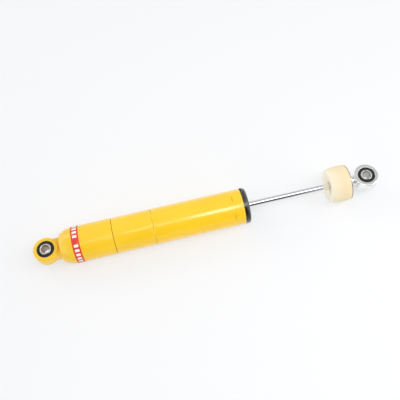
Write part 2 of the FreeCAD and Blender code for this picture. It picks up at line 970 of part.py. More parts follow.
def make_check_spring(label, station):
    """Coned star spring between the plate and the stop above it."""
    height = size.collar_height - size.plate_thickness
    gauge = size.spring_gauge
    body = turned_body(label, station, [
        (0, size.spring_foot_radius - gauge),
        (0, size.spring_foot_radius),
        (gauge, size.spring_foot_radius),
        (height, size.spring_head_radius),
        (height, size.spring_head_radius - gauge),
        (height - gauge, size.spring_head_radius - gauge),
    ])
    half = size.spring_slot_width / 2
    reach = (size.spring_foot_radius + size.spring_head_radius) / 2
    sketch = new_sketch(body, "slot_outline", "YZ_Plane")
    add_outline(sketch, [
        (-half, reach),
        (half, reach),
        (half, size.spring_foot_radius * 2),
        (-half, size.spring_foot_radius * 2),
    ])
    slot = cut_through(body, "slot", sketch)
    repeat_round(body, "slots", slot, size.spring_slot_count)
    return body


def make_shims(label, station, inner):
    """Stack of thin discs that widen along +X to the block they seal, each a solid of its own."""
    discs = []
    count = SIZES["shim_count"]
    for number in range(count):
        radius = SIZES["shim_radius"] - (count - 1 - number) * SIZES["shim_step"]
        place = Vector(number * SIZES["shim_thickness"], 0, 0)
        disc = Part.makeCylinder(radius, SIZES["shim_thickness"], place, Vector(1, 0, 0))
        hole = Part.makeCylinder(inner.value, SIZES["shim_thickness"], place, Vector(1, 0, 0))
        discs.append(disc.cut(hole))
    shims = document.addObject("Part::Feature", label)
    shims.Label = label
    shims.Shape = Part.makeCompound(discs)
    shims.Placement = Placement(Vector(station.value, 0, 0), Rotation())
    return shims


def make_disc(label, station, inner, outer, thickness):
    """Plain washer or collar."""
    return turned_body(label, station, [(0, inner), (0, outer), (thickness, outer), (thickness, inner)])


def make_hex_nut(label, station, flats, height, bore_radius):
    """Plain hexagon nut on the damper's axis."""
    along = Placement(Vector(), Rotation(Vector(0, 1, 0), 90))
    prism = document.addObject("Part::Prism", label + "_prism")
    prism.Polygon = 6
    prism.setExpression("Circumradius", f"{flats.text} / sqrt(3)")
    prism.setExpression("Height", height.text)
    bore = document.addObject("Part::Cylinder", label + "_bore")
    bore.setExpression("Radius", bore_radius.text)
    bore.setExpression("Height", height.text)
    nut = document.addObject("Part::Cut", label)
    nut.Label = label
    nut.Base = prism
    nut.Tool = bore
    nut.Placement = along
    nut.setExpression("Placement.Base.x", station.text)
    return nut


def make_foot_valve_body():
    """Valve block that stands on the base by its slotted ring and carries the inner tube."""
    base = size.foot_feet
    flange = base + size.foot_flange
    top = flange + size.foot_spigot
    ring_inner = size.foot_flange_radius - size.foot_ring_wall
    bolt_hole = size.foot_bolt_radius + size.tenon_clearance
    body = turned_body("foot_valve_body", cup_floor, [
        (base, bolt_hole),
        (base, ring_inner),
        (0, ring_inner),
        (0, size.foot_flange_radius),
        (flange, size.foot_flange_radius),
        (flange, cylinder_seat_radius),
        (top, cylinder_seat_radius),
        (top, bolt_hole),
    ])
    drill_ports(body)
    half = size.foot_slot_width / 2
    sketch = new_sketch(body, "slot_outline", "XY_Plane", ring_inner - size.foot_ring_wall / 2)
    add_outline(sketch, [
        (-base, -half),
        (base, -half),
        (base, half),
        (-base, half),
    ])
    slot = cut_outwards(body, "slot", sketch)
    repeat_round(body, "slots", slot, size.foot_slot_count)
    return body


def make_foot_valve_bolt():
    """Bolt whose collar guides the plate and whose head backs the spring."""
    shank = foot_top - cup_floor - size.foot_feet + size.shim_thickness * size.shim_count
    shank = shank + size.foot_nut_height
    collar = shank + size.collar_height
    head = collar + size.stop_plate_thickness
    return turned_body("foot_valve_bolt", foot_top - shank, [
        (0, 0),
        (0, size.foot_bolt_radius),
        (shank, size.foot_bolt_radius),
        (shank, size.collar_radius),
        (collar, size.collar_radius),
        (collar, size.stop_plate_radius),
        (head, size.stop_plate_radius),
        (head, 0),
    ])


def build():
    """Makes every sub-part and returns them in order along the damper."""
    bolt_hole = size.foot_bolt_radius + size.tenon_clearance
    block_floor = cup_floor + size.foot_feet
    foot_shims = block_floor - size.shim_thickness * size.shim_count
    return [
        make_lower_eye(),
        make_bush("lower_bush", 0),
        make_sleeve("lower_sleeve", 0),
        make_base_cup(),
        make_label_band(),
        make_reservoir_tube(),
        make_working_cylinder(),
        make_foot_valve_body(),
        make_foot_valve_bolt(),
        make_check_plate("foot_check_plate", foot_top),
        make_check_spring("foot_check_spring", foot_top + size.plate_thickness),
        make_shims("foot_valve_shims", foot_shims, bolt_hole),
        make_hex_nut("foot_valve_nut", foot_shims - size.foot_nut_height, size.foot_nut_flats,
                     size.foot_nut_height, bolt_hole),
        make_rod_guide(),
        make_guide_bush(),
        make_guide_o_ring(),
        make_rod_seal(),
        make_seal_washer(),
        make_gland_nut(),
        make_wiper_ring(),
        make_piston_rod(),
        make_piston(),
        make_piston_band(),
        make_check_plate("piston_check_plate", piston_top),
        make_check_spring("piston_check_spring", piston_top + size.plate_thickness),
        make_disc("piston_spacer", piston_top, tenon_bore_radius, size.collar_radius, size.collar_height),
        make_disc("piston_stop_plate", stop_plate_start, tenon_bore_radius, size.stop_plate_radius,
                  size.stop_plate_thickness),
        make_shims("piston_shims", shims_start, tenon_bore_radius),
        make_disc("piston_washer", piston_washer_start, tenon_bore_radius, size.piston_washer_radius,
                  size.piston_washer_thickness),
        make_hex_nut("piston_nut", piston_nut_start, size.piston_nut_flats, size.piston_nut_height,
                     tenon_bore_radius),
        make_rebound_stop(),
        make_rebound_clip(),
        make_bump_stop(),
        make_bump_washer(),
        make_upper_eye(),
        make_bush("upper_bush", upper_eye_station),
        make_sleeve("upper_sleeve", upper_eye_station),
    ]


def write(parts):
    """Checks every object of the document, then writes one file for each sub-part."""
    document.recompute()
    for item in document.Objects:
        if "Invalid" in item.State or "Error" in item.State:
            raise RuntimeError(f"{item.Label} failed: {item.State}")
    for part in parts:
        if part.Shape.isNull() or not part.Shape.isValid():
            raise RuntimeError(f"{part.Label} has no valid shape")
    os.makedirs("parts", exist_ok=True)
    for part in parts:
        part.Shape.exportStep(f"parts/{part.Label}.step")


write(build())
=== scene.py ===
"""Looks of an eye-to-eye racing damper, dressed round its packed construction.

Metres, in the frame of the construction: the origin is the centre of the lower eye, +X runs along
the rod towards the upper eye, and +Z is the axis of both eyes.
"""
import json
import logging
import math
from dataclasses import dataclass, field, replace
from enum import Enum
from typing import Callable, Union

import bmesh
import bpy
from mathutils import Matrix, Vector


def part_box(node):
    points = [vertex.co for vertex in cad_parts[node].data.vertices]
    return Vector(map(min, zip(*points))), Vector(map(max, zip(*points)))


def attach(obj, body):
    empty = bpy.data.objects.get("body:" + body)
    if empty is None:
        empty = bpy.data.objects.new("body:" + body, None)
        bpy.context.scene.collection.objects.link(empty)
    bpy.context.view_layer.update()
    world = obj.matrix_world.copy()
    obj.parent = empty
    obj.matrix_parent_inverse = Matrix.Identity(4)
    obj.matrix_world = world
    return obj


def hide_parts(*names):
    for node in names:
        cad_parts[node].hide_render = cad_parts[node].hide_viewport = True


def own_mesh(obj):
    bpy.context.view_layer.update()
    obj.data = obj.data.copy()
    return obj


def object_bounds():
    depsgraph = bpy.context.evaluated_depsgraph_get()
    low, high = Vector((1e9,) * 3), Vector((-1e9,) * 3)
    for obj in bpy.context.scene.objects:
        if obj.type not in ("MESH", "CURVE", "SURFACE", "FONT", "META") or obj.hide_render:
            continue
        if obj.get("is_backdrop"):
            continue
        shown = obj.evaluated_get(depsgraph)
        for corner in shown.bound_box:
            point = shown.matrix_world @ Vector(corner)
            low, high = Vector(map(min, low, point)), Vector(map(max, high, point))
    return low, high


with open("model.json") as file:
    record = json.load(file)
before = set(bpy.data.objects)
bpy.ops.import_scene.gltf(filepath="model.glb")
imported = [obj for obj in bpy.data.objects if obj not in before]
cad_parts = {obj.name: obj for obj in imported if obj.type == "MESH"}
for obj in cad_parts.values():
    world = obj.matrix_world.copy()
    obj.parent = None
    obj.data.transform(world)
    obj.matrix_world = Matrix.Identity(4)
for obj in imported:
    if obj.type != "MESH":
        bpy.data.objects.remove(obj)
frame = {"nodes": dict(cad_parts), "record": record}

LOG = logging.getLogger("damper")
MM = 0.001
FULL_TURN = 2.0 * math.pi
QUARTER_TURN = math.pi / 2.0
Colour = tuple[float, float, float]
Place = tuple[float, float, float]
Span = tuple[float, float]
Piece = bpy.types.Object
Material = bpy.types.Material

# Most of a noise lies between these two values.
NOISE_CORE: Span = (0.3, 0.7)

# Layers of detail in a noise.
PLAIN_DETAIL = 2.0
MEDIUM_DETAIL = 3.0
RICH_DETAIL = 4.0
NOISE_ROUGHNESS = 0.55

# Limits of what counts as one place, and of what counts as a straight line.
MERGE_DISTANCE = 1e-6
SAME_PLACE = 1e-7
STRAIGHT_HALF_ANGLE = math.radians(89.0)

# Edges sharper than this, in degrees, stay sharp on turned and on melted pieces.
TURNED_SHARP = 35.0
MELTED_SHARP = 60.0


class Axis(Enum):
    """The line that a piece is turned about."""

    ROD = (1.0, 0.0, 0.0)
    BOLT = (0.0, 0.0, 1.0)


class Wire:
    """An output of a node graph that takes part in sums."""

    def __init__(self, graph: "Graph", socket: bpy.types.NodeSocket) -> None:
        """Wraps one output socket of a graph."""
        self.graph = graph
        self.socket = socket

    def _sum(self, operation: str, first: "Value", second: "Value") -> "Wire":
        """One Math node on two values."""
        return self.graph.wire("ShaderNodeMath", {"operation": operation}, {0: first, 1: second})

    def __add__(self, other: "Value") -> "Wire":
        """Sum of two values."""
        return self._sum("ADD", self, other)

    def __radd__(self, other: "Value") -> "Wire":
        """Sum of two values, the number first."""
        return self._sum("ADD", other, self)

    def __sub__(self, other: "Value") -> "Wire":
        """Difference of two values."""
        return self._sum("SUBTRACT", self, other)

    def __rsub__(self, other: "Value") -> "Wire":
        """Difference of two values, the number first."""
        return self._sum("SUBTRACT", other, self)

    def __mul__(self, other: "Value") -> "Wire":
        """Product of two values."""
        return self._sum("MULTIPLY", self, other)

    def __rmul__(self, other: "Value") -> "Wire":
        """Product of two values, the number first."""
        return self._sum("MULTIPLY", other, self)

    def __truediv__(self, other: "Value") -> "Wire":
        """Quotient of two values."""
        return self._sum("DIVIDE", self, other)

    def __gt__(self, other: "Value") -> "Wire":
        """One where the first value is the larger, and nought elsewhere."""
        return self._sum("GREATER_THAN", self, other)

    def __lt__(self, other: "Value") -> "Wire":
        """One where the first value is the smaller, and nought elsewhere."""
        return self._sum("LESS_THAN", self, other)

    def __mod__(self, other: "Value") -> "Wire":
        """Remainder that is never negative."""
        return self._sum("FLOORED_MODULO", self, other)

    def __abs__(self) -> "Wire":
        """The value without its sign."""
        return self._sum("ABSOLUTE", self, 0.0)

    def ramp(self, low: float, high: float, to_low: float = 0.0, to_high: float = 1.0) -> "Wire":
        """Maps a range of the value to another range, held at both ends.

        Args:
            low: value that maps to to_low.
            high: value that maps to to_high.
            to_low: result at and below low.
            to_high: result at and above high.

        Returns:
            The mapped value.
        """
        limits = {"From Min": low, "From Max": high, "To Min": to_low, "To Max": to_high}
        return self.graph.wire("ShaderNodeMapRange", {"clamp": True}, {"Value": self, **limits})


Value = Union[Wire, float, Colour]


class Graph:
    """Node graph of a material or of the world."""

    def __init__(self, tree: bpy.types.NodeTree) -> None:
        """Takes over a node tree and empties it."""
        self.tree = tree
        self.tree.nodes.clear()

    def node(self, kind: str, settings: dict | None = None, inputs: dict | None = None) -> bpy.types.Node:
        """Adds a node, sets it up, then fills or links its inputs.

        Args:
            kind: name of the node's type.
            settings: properties of the node, set first.
            inputs: values or wires by socket name or number.

        Returns:
            The new node.
        """
        node = self.tree.nodes.new(kind)
        for name, value in (settings or {}).items():
            setattr(node, name, value)
        for key, value in (inputs or {}).items():
            self.feed(node.inputs[key], value)
        return node

    def wire(self, kind: str, settings: dict | None = None, inputs: dict | None = None,
             out: int | str = 0) -> Wire:
        """Adds a node as node() does, and returns one of its outputs."""
        return Wire(self, self.node(kind, settings, inputs).outputs[out])

    def feed(self, socket: bpy.types.NodeSocket, value: Value) -> None:
        """Links a wire to a socket, or sets the socket to a plain value.

        Args:
            socket: the input that is fed.
            value: a wire, a number or a colour.
        """
        if isinstance(value, Wire):
            self.tree.links.new(value.socket, socket)
        elif isinstance(value, tuple) and len(socket.default_value) == 4:
            socket.default_value = (*value, 1.0)
        else:
            socket.default_value = value

    def place(self) -> Wire:
        """Place on the object, in metres."""
        return self.wire("ShaderNodeTexCoord", out="Object")

    def split(self, vector: Wire) -> tuple[Wire, Wire, Wire]:
        """The three parts of a vector."""
        node = self.node("ShaderNodeSeparateXYZ", inputs={0: vector})
        return tuple(Wire(self, socket) for socket in node.outputs)

    def join(self, x: Value, y: Value, z: Value) -> Wire:
        """A vector of three values."""
        return self.wire("ShaderNodeCombineXYZ", inputs={0: x, 1: y, 2: z})

    def away(self, across: Wire, up: Wire) -> Wire:
        """Distance from an axis, from the two places across it."""
        flat = self.join(across, up, 0.0)
        return self.wire("ShaderNodeVectorMath", {"operation": "LENGTH"}, {0: flat}, "Value")

    def turn_angle(self, across: Wire, up: Wire) -> Wire:
        """Angle round an axis, in turns, from the two places across it."""
        angle = self.wire("ShaderNodeMath", {"operation": "ARCTAN2"}, {0: across, 1: up})
        return angle / FULL_TURN

    def noise(self, place: Wire, scale: float, detail: float = MEDIUM_DETAIL) -> Wire:
        """Smooth noise from nought to one."""
        inputs = {"Vector": place, "Scale": scale, "Detail": detail, "Roughness": NOISE_ROUGHNESS}
        return self.wire("ShaderNodeTexNoise", {"noise_dimensions": "3D"}, inputs, "Fac")

    def cells(self, place: Wire, scale: float) -> Wire:
        """Distance to the nearest of scattered points."""
        inputs = {"Vector": place, "Scale": scale}
        return self.wire("ShaderNodeTexVoronoi", {"feature": "F1"}, inputs, "Distance")

    def mix(self, share: Value, first: Value, second: Value) -> Wire:
        """Mixes two colours."""
        inputs = {"Factor": share, 6: first, 7: second}
        return self.wire("ShaderNodeMix", {"data_type": "RGBA"}, inputs, 2)

    def bump(self, height: Wire, distance: float) -> Wire:
        """Surface direction that follows a height map, whose height of one is that distance."""
        return self.wire("ShaderNodeBump", inputs={"Height": height, "Distance": distance, "Strength": 1.0})


class Skin(Graph):
    """Node graph of one material, from its coordinates to its surface shader."""

    def __init__(self, name: str) -> None:
        """Makes a material with a surface shader and its output.

        Args:
            name: name of the material.
        """
        self.material = bpy.data.materials.new(name)
        self.material.use_nodes = True
        super().__init__(self.material.node_tree)
        self.shader = self.node("ShaderNodeBsdfPrincipled")
        self.lit = Wire(self, self.shader.outputs[0])
        self.output = self.node("ShaderNodeOutputMaterial", inputs={"Surface": self.lit})

    def surface(self, **inputs: Value) -> Material:
        """Feeds the surface shader.

        Args:
            inputs: values or wires by socket name, with _ for a space.

        Returns:
            The material.
        """
        for name, value in inputs.items():
            self.feed(self.shader.inputs[name.replace("_", " ").title().replace("Ior", "IOR")], value)
        return self.material


def scaled(colour: Colour, share: float) -> Colour:
    """The colour made lighter or darker by a share."""
    return tuple(min(1.0, part * share) for part in colour)


@dataclass(frozen=True)
class Finish:
    """What every finish has: a name, a colour and a roughness."""

    name: str
    colour: Colour
    roughness: float

    def material(self) -> Material:
        """The finish as a material, made once, under a name that no slot of the record has."""
        name = f"{self.name}_finish"
        return bpy.data.materials.get(name) or self.shade(Skin(name))

    def shade(self, graph: Skin) -> Material:
        """Builds the material's nodes. Each kind of finish has its own."""
        raise NotImplementedError

    def tones(self, graph: Skin, cloud: Wire, dark: float, light: float) -> Wire:
        """The colour, clouded between a darker and a lighter share of itself."""
        return graph.mix(cloud.ramp(*NOISE_CORE), scaled(self.colour, dark), scaled(self.colour, light))

    def rough(self, cloud: Wire, less: float, more: float) -> Wire:
        """The roughness, clouded from that much less to that much more."""
        return cloud.ramp(*NOISE_CORE, self.roughness - less, self.roughness + more)


@dataclass(frozen=True)
class Paint(Finish):
    """Stoved gloss paint on steel: slight orange peel, faint tone shifts and a few dull scuffs."""

    coat: float
    coat_roughness: float
    shine: float = 0.5
    peel_pitch: float = 1.6 * MM
    peel_height: float = 0.004 * MM
    smoother: float = 0.03
    rougher: float = 0.04
    tone: float = 0.04
    tone_scale: float = 14.0
    scuff_stretch: Span = (30.0, 900.0)
    scuff_line: Span = (0.66, 0.74)
    scuff_scale: float = 55.0
    scuff_patch: Span = (0.55, 0.7)
    scuff_tint: float = 0.12
    scuff_shade: float = 0.8
    scuff_roughness: float = 0.18
    scuff_wear: float = 0.7
    # Painted shade: in grooves, dents and gaps below the skin of a turned piece the paint is darkened, most
    # where they are deep, and there it is rougher with a duller coat.
    skin_radius: float = 0.0
    recess_shade_to: float = 0.0
    recess_depth: Span = (0.25 * MM, 0.60 * MM)
    deep_shade_depth: Span = (1.0 * MM, 1.3 * MM)
    recess_shade_share: Span = (0.22, 0.85)
    recess_shade_tone: float = 0.12
    recess_roughness: float = 0.3
    recess_dulling: float = 0.9

    def shade(self, graph: Skin) -> Material:
        """Nodes of the paint, with painted shade in what lies below the skin of a turned piece, which is also
        rougher and duller there.

        Args:
            graph: the material's empty graph.

        Returns:
            The material.
        """
        place = graph.place()
        cloud = graph.noise(place, self.tone_scale, RICH_DETAIL)
        peel = graph.noise(place, 1.0 / self.peel_pitch, PLAIN_DETAIL)
        along, across, up = graph.split(place)
        slow, quick = self.scuff_stretch
        streak = graph.noise(graph.join(along * slow, across * quick, up * quick), 1.0, PLAIN_DETAIL)
        patch = graph.noise(place, self.scuff_scale)
        scuff = streak.ramp(*self.scuff_line) * patch.ramp(*self.scuff_patch)
        clean = self.tones(graph, cloud, 1.0 - self.tone, 1.0 + self.tone)
        worn = graph.mix(scuff * self.scuff_tint, clean, scaled(self.colour, self.scuff_shade))
        # Painted shade in the recesses below the skin, darkest in the deep gap.
        sunk = self.skin_radius - graph.away(across, up)
        in_recess = sunk.ramp(*self.recess_depth) * (along < self.recess_shade_to)
        recess_shade = in_recess * sunk.ramp(*self.deep_shade_depth, *self.recess_shade_share)
        rough = self.rough(peel, self.smoother, self.rougher)
        return graph.surface(
            base_color=graph.mix(recess_shade, worn, scaled(self.colour, self.recess_shade_tone)),
            roughness=rough + scuff * self.scuff_roughness + in_recess * self.recess_roughness,
            specular_ior_level=self.shine,
            coat_weight=self.coat * (1.0 - scuff * self.scuff_wear) * (1.0 - in_recess * self.recess_dulling),
            coat_roughness=self.coat_roughness,
            normal=graph.bump(peel, self.peel_height),
        )


@dataclass(frozen=True)
class Metal(Finish):
    """Bare or plated metal with a clouded surface and lines left by the lathe."""

    line_pitch: float = 0.35 * MM
    line_height: float = 0.004 * MM
    smoothest: float = 0.8
    roughest: float = 1.25
    cloud: float = 0.10
    cloud_scale: float = 90.0
    spot_scale: float = 420.0
    spot_size: Span = (0.62, 0.75)
    spot_tint: float = 0.25
    spot_shade: float = 0.7
    spot_roughness: float = 0.08
    axis: Axis = Axis.ROD
    centre: float = 0.0
    # Painted shade: between two distances from the axis the metal is darkened towards this colour in clouds,
    # and is rougher.
    shade_tint: Colour = (0.10, 0.075, 0.05)
    shade_band_from: float = 0.0
    shade_band_to: float = 0.0
    shade_cloud: Span = (0.25, 0.65)
    shade_cover: Span = (0.55, 1.0)
    shade_band_roughness: float = 0.12

    def shade(self, graph: Skin) -> Material:
        """Nodes of the metal, with painted shade over a range of distances from its axis, which is also
        rougher there.

        Args:
            graph: the material's empty graph.

        Returns:
            The material.
        """
        place = graph.place()
        x, y, z = graph.split(place)
        along, across, up = (x, y, z) if self.axis is Axis.ROD else (z, x - self.centre, y)
        away = graph.away(across, up)
        turning = graph.join(along / self.line_pitch, away / self.line_pitch, 0.0)
        lines = graph.noise(turning, 1.0, PLAIN_DETAIL)
        cloud = graph.noise(place, self.cloud_scale, RICH_DETAIL)
        spot = graph.noise(place, self.spot_scale).ramp(*self.spot_size)
        clean = self.tones(graph, cloud, 1.0 - self.cloud, 1.0 + self.cloud)
        tint = graph.mix(spot * self.spot_tint, clean, scaled(self.colour, self.spot_shade))
        # Painted shade over the band of distances from the axis.
        in_shade_band = (away > self.shade_band_from) * (away < self.shade_band_to)
        band_shade = in_shade_band * cloud.ramp(*self.shade_cloud, *self.shade_cover)
        rough = lines.ramp(*NOISE_CORE, self.roughness * self.smoothest, self.roughness * self.roughest)
        return graph.surface(
            base_color=graph.mix(band_shade, tint, self.shade_tint),
            metallic=1.0,
            roughness=rough + spot * self.spot_roughness + band_shade * self.shade_band_roughness,
            normal=graph.bump(lines, self.line_height),
        )


@dataclass(frozen=True)
class Chrome(Finish):
    """Ground and hard-chromed rod: a mirror with hairlines drawn along it by the seal."""

    hair_stretch: Span = (12.0, 2600.0)
    hair_line: Span = (0.55, 0.75)
    hair_roughness: float = 0.07
    hair_height: float = 0.0004 * MM
    smear_scale: float = 60.0
    smear_tone: Span = (0.35, 0.7)
    smear_shade: float = 0.95
    smear_film: Span = (0.5, 0.8)
    smear_roughness: float = 0.04

    def shade(self, graph: Skin) -> Material:
        """Nodes of the chrome.

        Args:
            graph: the material's empty graph.

        Returns:
            The material.
        """
        place = graph.place()
        along, across, up = graph.split(place)
        slow, quick = self.hair_stretch
        hair = graph.noise(graph.join(along * slow, across * quick, up * quick), 1.0)
        smear = graph.noise(place, self.smear_scale)
        lines = hair.ramp(*self.hair_line) * self.hair_roughness
        film = smear.ramp(*self.smear_film) * self.smear_roughness
        dull = scaled(self.colour, self.smear_shade)
        return graph.surface(
            base_color=graph.mix(smear.ramp(*self.smear_tone), dull, self.colour),
            metallic=1.0,
            roughness=self.roughness + lines + film,
            normal=graph.bump(hair, self.hair_height),
        )


@dataclass(frozen=True)
class Rubber(Finish):
    """Moulded rubber with a fine grain and a little pale bloom."""

    grain_pitch: float = 0.5 * MM
    grain_height: float = 0.02 * MM
    grain_roughness: float = 0.08
    bloom: float = 0.35
    bloom_scale: float = 130.0
    bloom_patch: Span = (0.45, 0.75)
    bloom_lift: float = 2.6

    def shade(self, graph: Skin) -> Material:
        """Nodes of the rubber.

        Args:
            graph: the material's empty graph.

        Returns:
            The material.
        """
        place = graph.place()
        grain = graph.noise(place, 1.0 / self.grain_pitch, RICH_DETAIL)
        bloom = graph.noise(place, self.bloom_scale, RICH_DETAIL).ramp(*self.bloom_patch)
        return graph.surface(
            base_color=graph.mix(bloom * self.bloom, self.colour, scaled(self.colour, self.bloom_lift)),
            roughness=self.rough(grain, self.grain_roughness, self.grain_roughness),
            normal=graph.bump(grain, self.grain_height),
        )


@dataclass(frozen=True)
class Foam(Finish):
    """Microcellular foam: closed pores, mottling and a few open cells.

    Its mouth is painted paler, as painted light on its face, and it is yellowed at its back.
    """

    shine: float = 0.3
    pore_pitch: float = 1.1 * MM
    pore_rise: float = 0.6
    pore_height: float = 0.035 * MM
    cell_scale: float = 520.0
    cell_open: Span = (0.66, 0.72)
    cell_mouth: Span = (0.12, 0.3)
    pit_shade_share: float = 0.7
    pit_depth: float = 1.5
    mottle_scale: float = 75.0
    mottle_patch: Span = (0.3, 0.72)
    mottle_tint: float = 0.06
    mottle_roughness: float = 0.06
    # Open cells are darkened towards this colour as painted shade; the mottling shifts towards it at random.
    pit_shade_and_mottle: Colour = (0.72, 0.52, 0.27)
    # Paler colour of the mouth: painted light on the face.
    mouth: Colour = (0.865, 0.81, 0.68)
    mouth_to: float = 0.0
    mouth_fade: float = 3.0 * MM
    aged: Colour = (0.845, 0.70, 0.45)
    aged_from: float = 0.0
    aged_to: float = 1.0

    def shade(self, graph: Skin) -> Material:
        """Nodes of the foam.

        Args:
            graph: the material's empty graph.

        Returns:
            The material.
        """
        place = graph.place()
        mottle = graph.noise(place, self.mottle_scale, RICH_DETAIL)
        pores = graph.cells(place, 1.0 / self.pore_pitch)
        cell = graph.noise(place, self.cell_scale, PLAIN_DETAIL)
        pit = cell.ramp(*self.cell_open) * pores.ramp(*self.cell_mouth, 1.0, 0.0)
        along = graph.split(place)[0]
        side = graph.mix(along.ramp(self.aged_from, self.aged_to), self.colour, self.aged)
        # Painted light: the mouth is paler, fading into the side.
        inside = along.ramp(self.mouth_to, self.mouth_to + self.mouth_fade)
        skin = graph.mix(inside, self.mouth, side)
        tint = graph.mix(mottle.ramp(*self.mottle_patch, self.mottle_tint, 0.0), skin, self.pit_shade_and_mottle)
        height = pores.ramp(0.0, self.pore_rise) - pit * self.pit_depth
        # The open cells are darkened as painted shade.
        return graph.surface(
            base_color=graph.mix(pit * self.pit_shade_share, tint, self.pit_shade_and_mottle),
            roughness=self.rough(mottle, self.mottle_roughness, self.mottle_roughness),
            specular_ior_level=self.shine,
            normal=graph.bump(height, self.pore_height),
        )


@dataclass(frozen=True)
class Film(Finish):
    """Printed film: one ground colour with a row of plain pale bars round the body."""

    coat: float = 0.15
    coat_roughness: float = 0.2
    smoother: float = 0.04
    rougher: float = 0.06
    cloud_scale: float = 120.0
    cloud_height: float = 0.01 * MM
    ground: Span = (0.92, 1.06)
    bar_colour: Colour = (0.90, 0.88, 0.86)
    bars: float = 24.0
    group: float = 6.0
    first_bar: float = 0.018
    bar_share: float = 0.58
    middle: float = 0.0
    half_height: float = 3.5 * MM
    wear_scale: float = 700.0
    wear_patch: Span = (0.15, 0.30)
    wear_cover: Span = (0.4, 1.0)

    def shade(self, graph: Skin) -> Material:
        """Nodes of the film.

        Args:
            graph: the material's empty graph.

        Returns:
            The material.
        """
        place = graph.place()
        along, across, up = graph.split(place)
        turns = (graph.turn_angle(across, up) + self.first_bar) * self.bars
        inside = abs((turns % 1.0) - 0.5) < self.bar_share / 2.0
        tall = abs(along - self.middle) < self.half_height
        printed = (turns % self.group) < self.group - 1.0
        wear = graph.noise(place, self.wear_scale).ramp(*self.wear_patch, *self.wear_cover)
        cloud = graph.noise(place, self.cloud_scale)
        ground = self.tones(graph, cloud, *self.ground)
        return graph.surface(
            base_color=graph.mix(inside * tall * printed * wear, ground, self.bar_colour),
            roughness=self.rough(cloud, self.smoother, self.rougher),
            coat_weight=self.coat,
            coat_roughness=self.coat_roughness,
            normal=graph.bump(cloud, self.cloud_height),
        )


def deselect() -> None:
    """Leaves edit mode and deselects every object."""
    if bpy.context.object and bpy.context.object.mode != "OBJECT":
        bpy.ops.object.mode_set(mode="OBJECT")
    bpy.ops.object.select_all(action="DESELECT")


def pick(*pieces: Piece) -> None:
    """Selects only those pieces, with the first one active.

    Args:
        pieces: what is selected.
    """
    deselect()
    for piece in pieces:
        piece.select_set(True)
    bpy.context.view_layer.objects.active = pieces[0]


def apply_modifier(piece: Piece, kind: str, **settings: object) -> None:
    """Adds a modifier and applies it to the piece's mesh.

    Args:
        piece: what is changed.
        kind: type of the modifier.
        settings: properties of the modifier.
    """
    pick(piece)
    modifier = piece.modifiers.new(kind.lower(), kind)
    for name, value in settings.items():
        setattr(modifier, name, value)
    bpy.ops.object.modifier_apply(modifier=modifier.name)


def smooth_by_angle(piece: Piece, degrees: float = TURNED_SHARP) -> None:
    """Shades a piece smooth, with edges sharper than that angle kept."""
    pick(piece)
    bpy.ops.object.shade_smooth_by_angle(angle=math.radians(degrees))


def dress(piece: Piece, finish: Finish) -> None:
    """Gives a piece one finish all over."""
    piece.data.materials.clear()
    piece.data.materials.append(finish.material())


class Profile:
    """Closed outline that is turned about an axis, as places along the axis and away from it."""

    def __init__(self) -> None:
        """Starts an outline with no corners."""
        self.corners: list[tuple[Vector, float]] = []

    def to(self, along: float, away: float, rounding: float = 0.0) -> "Profile":
        """Adds a corner.

        Args:
            along: place along the axis.
            away: distance from the axis.
            rounding: radius that the corner is rounded by.

        Returns:
            The outline, so that corners can be chained.
        """
        self.corners.append((Vector((along, away)), rounding))
        return self

    def bow(self, along: float, away: float, bulge: float, steps: int = 10) -> "Profile":
        """Adds an arc from the last corner.

        Args:
            along: place of the arc's end along the axis.
            away: distance of the arc's end from the axis.
            bulge: how far the arc stands off its chord, on the left of the way round.
            steps: chords in the arc.

        Returns:
            The outline, so that corners can be chained.
        """
        start = self.corners[-1][0]
        chord = Vector((along, away)) - start
        left = Vector((-chord.y, chord.x)).normalized()
        radius = (chord.length_squared / 4.0 + bulge * bulge) / (2.0 * bulge)
        for step in range(1, steps + 1):
            share = step / steps
            off_middle = chord.length * (share - 0.5)
            height = math.sqrt(radius * radius - off_middle * off_middle) - radius + bulge
            self.corners.append((start + chord * share + left * height, 0.0))
        return self

    def points(self, steps: int) -> list[Vector]:
        """Corners of the outline, with each rounded one as a run of short chords.

        Args:
            steps: chords in each rounded corner.

        Returns:
            Places along and away from the axis.
        """
        found: list[Vector] = []
        count = len(self.corners)
        for number, (corner, rounding) in enumerate(self.corners):
            back = (self.corners[number - 1][0] - corner).normalized()
            ahead = (self.corners[(number + 1) % count][0] - corner).normalized()
            half = math.acos(max(-1.0, min(1.0, back.dot(ahead)))) / 2.0
            if rounding <= 0.0 or half > STRAIGHT_HALF_ANGLE:
                found.append(corner)
                continue
            centre = corner + (back + ahead).normalized() * (rounding / math.sin(half))
            first = corner + back * (rounding / math.tan(half)) - centre
            last = corner + ahead * (rounding / math.tan(half)) - centre
            sweep = first.angle_signed(last)
            for step in range(steps + 1):
                found.append(centre + Matrix.Rotation(-sweep * step / steps, 2) @ first)
        return found


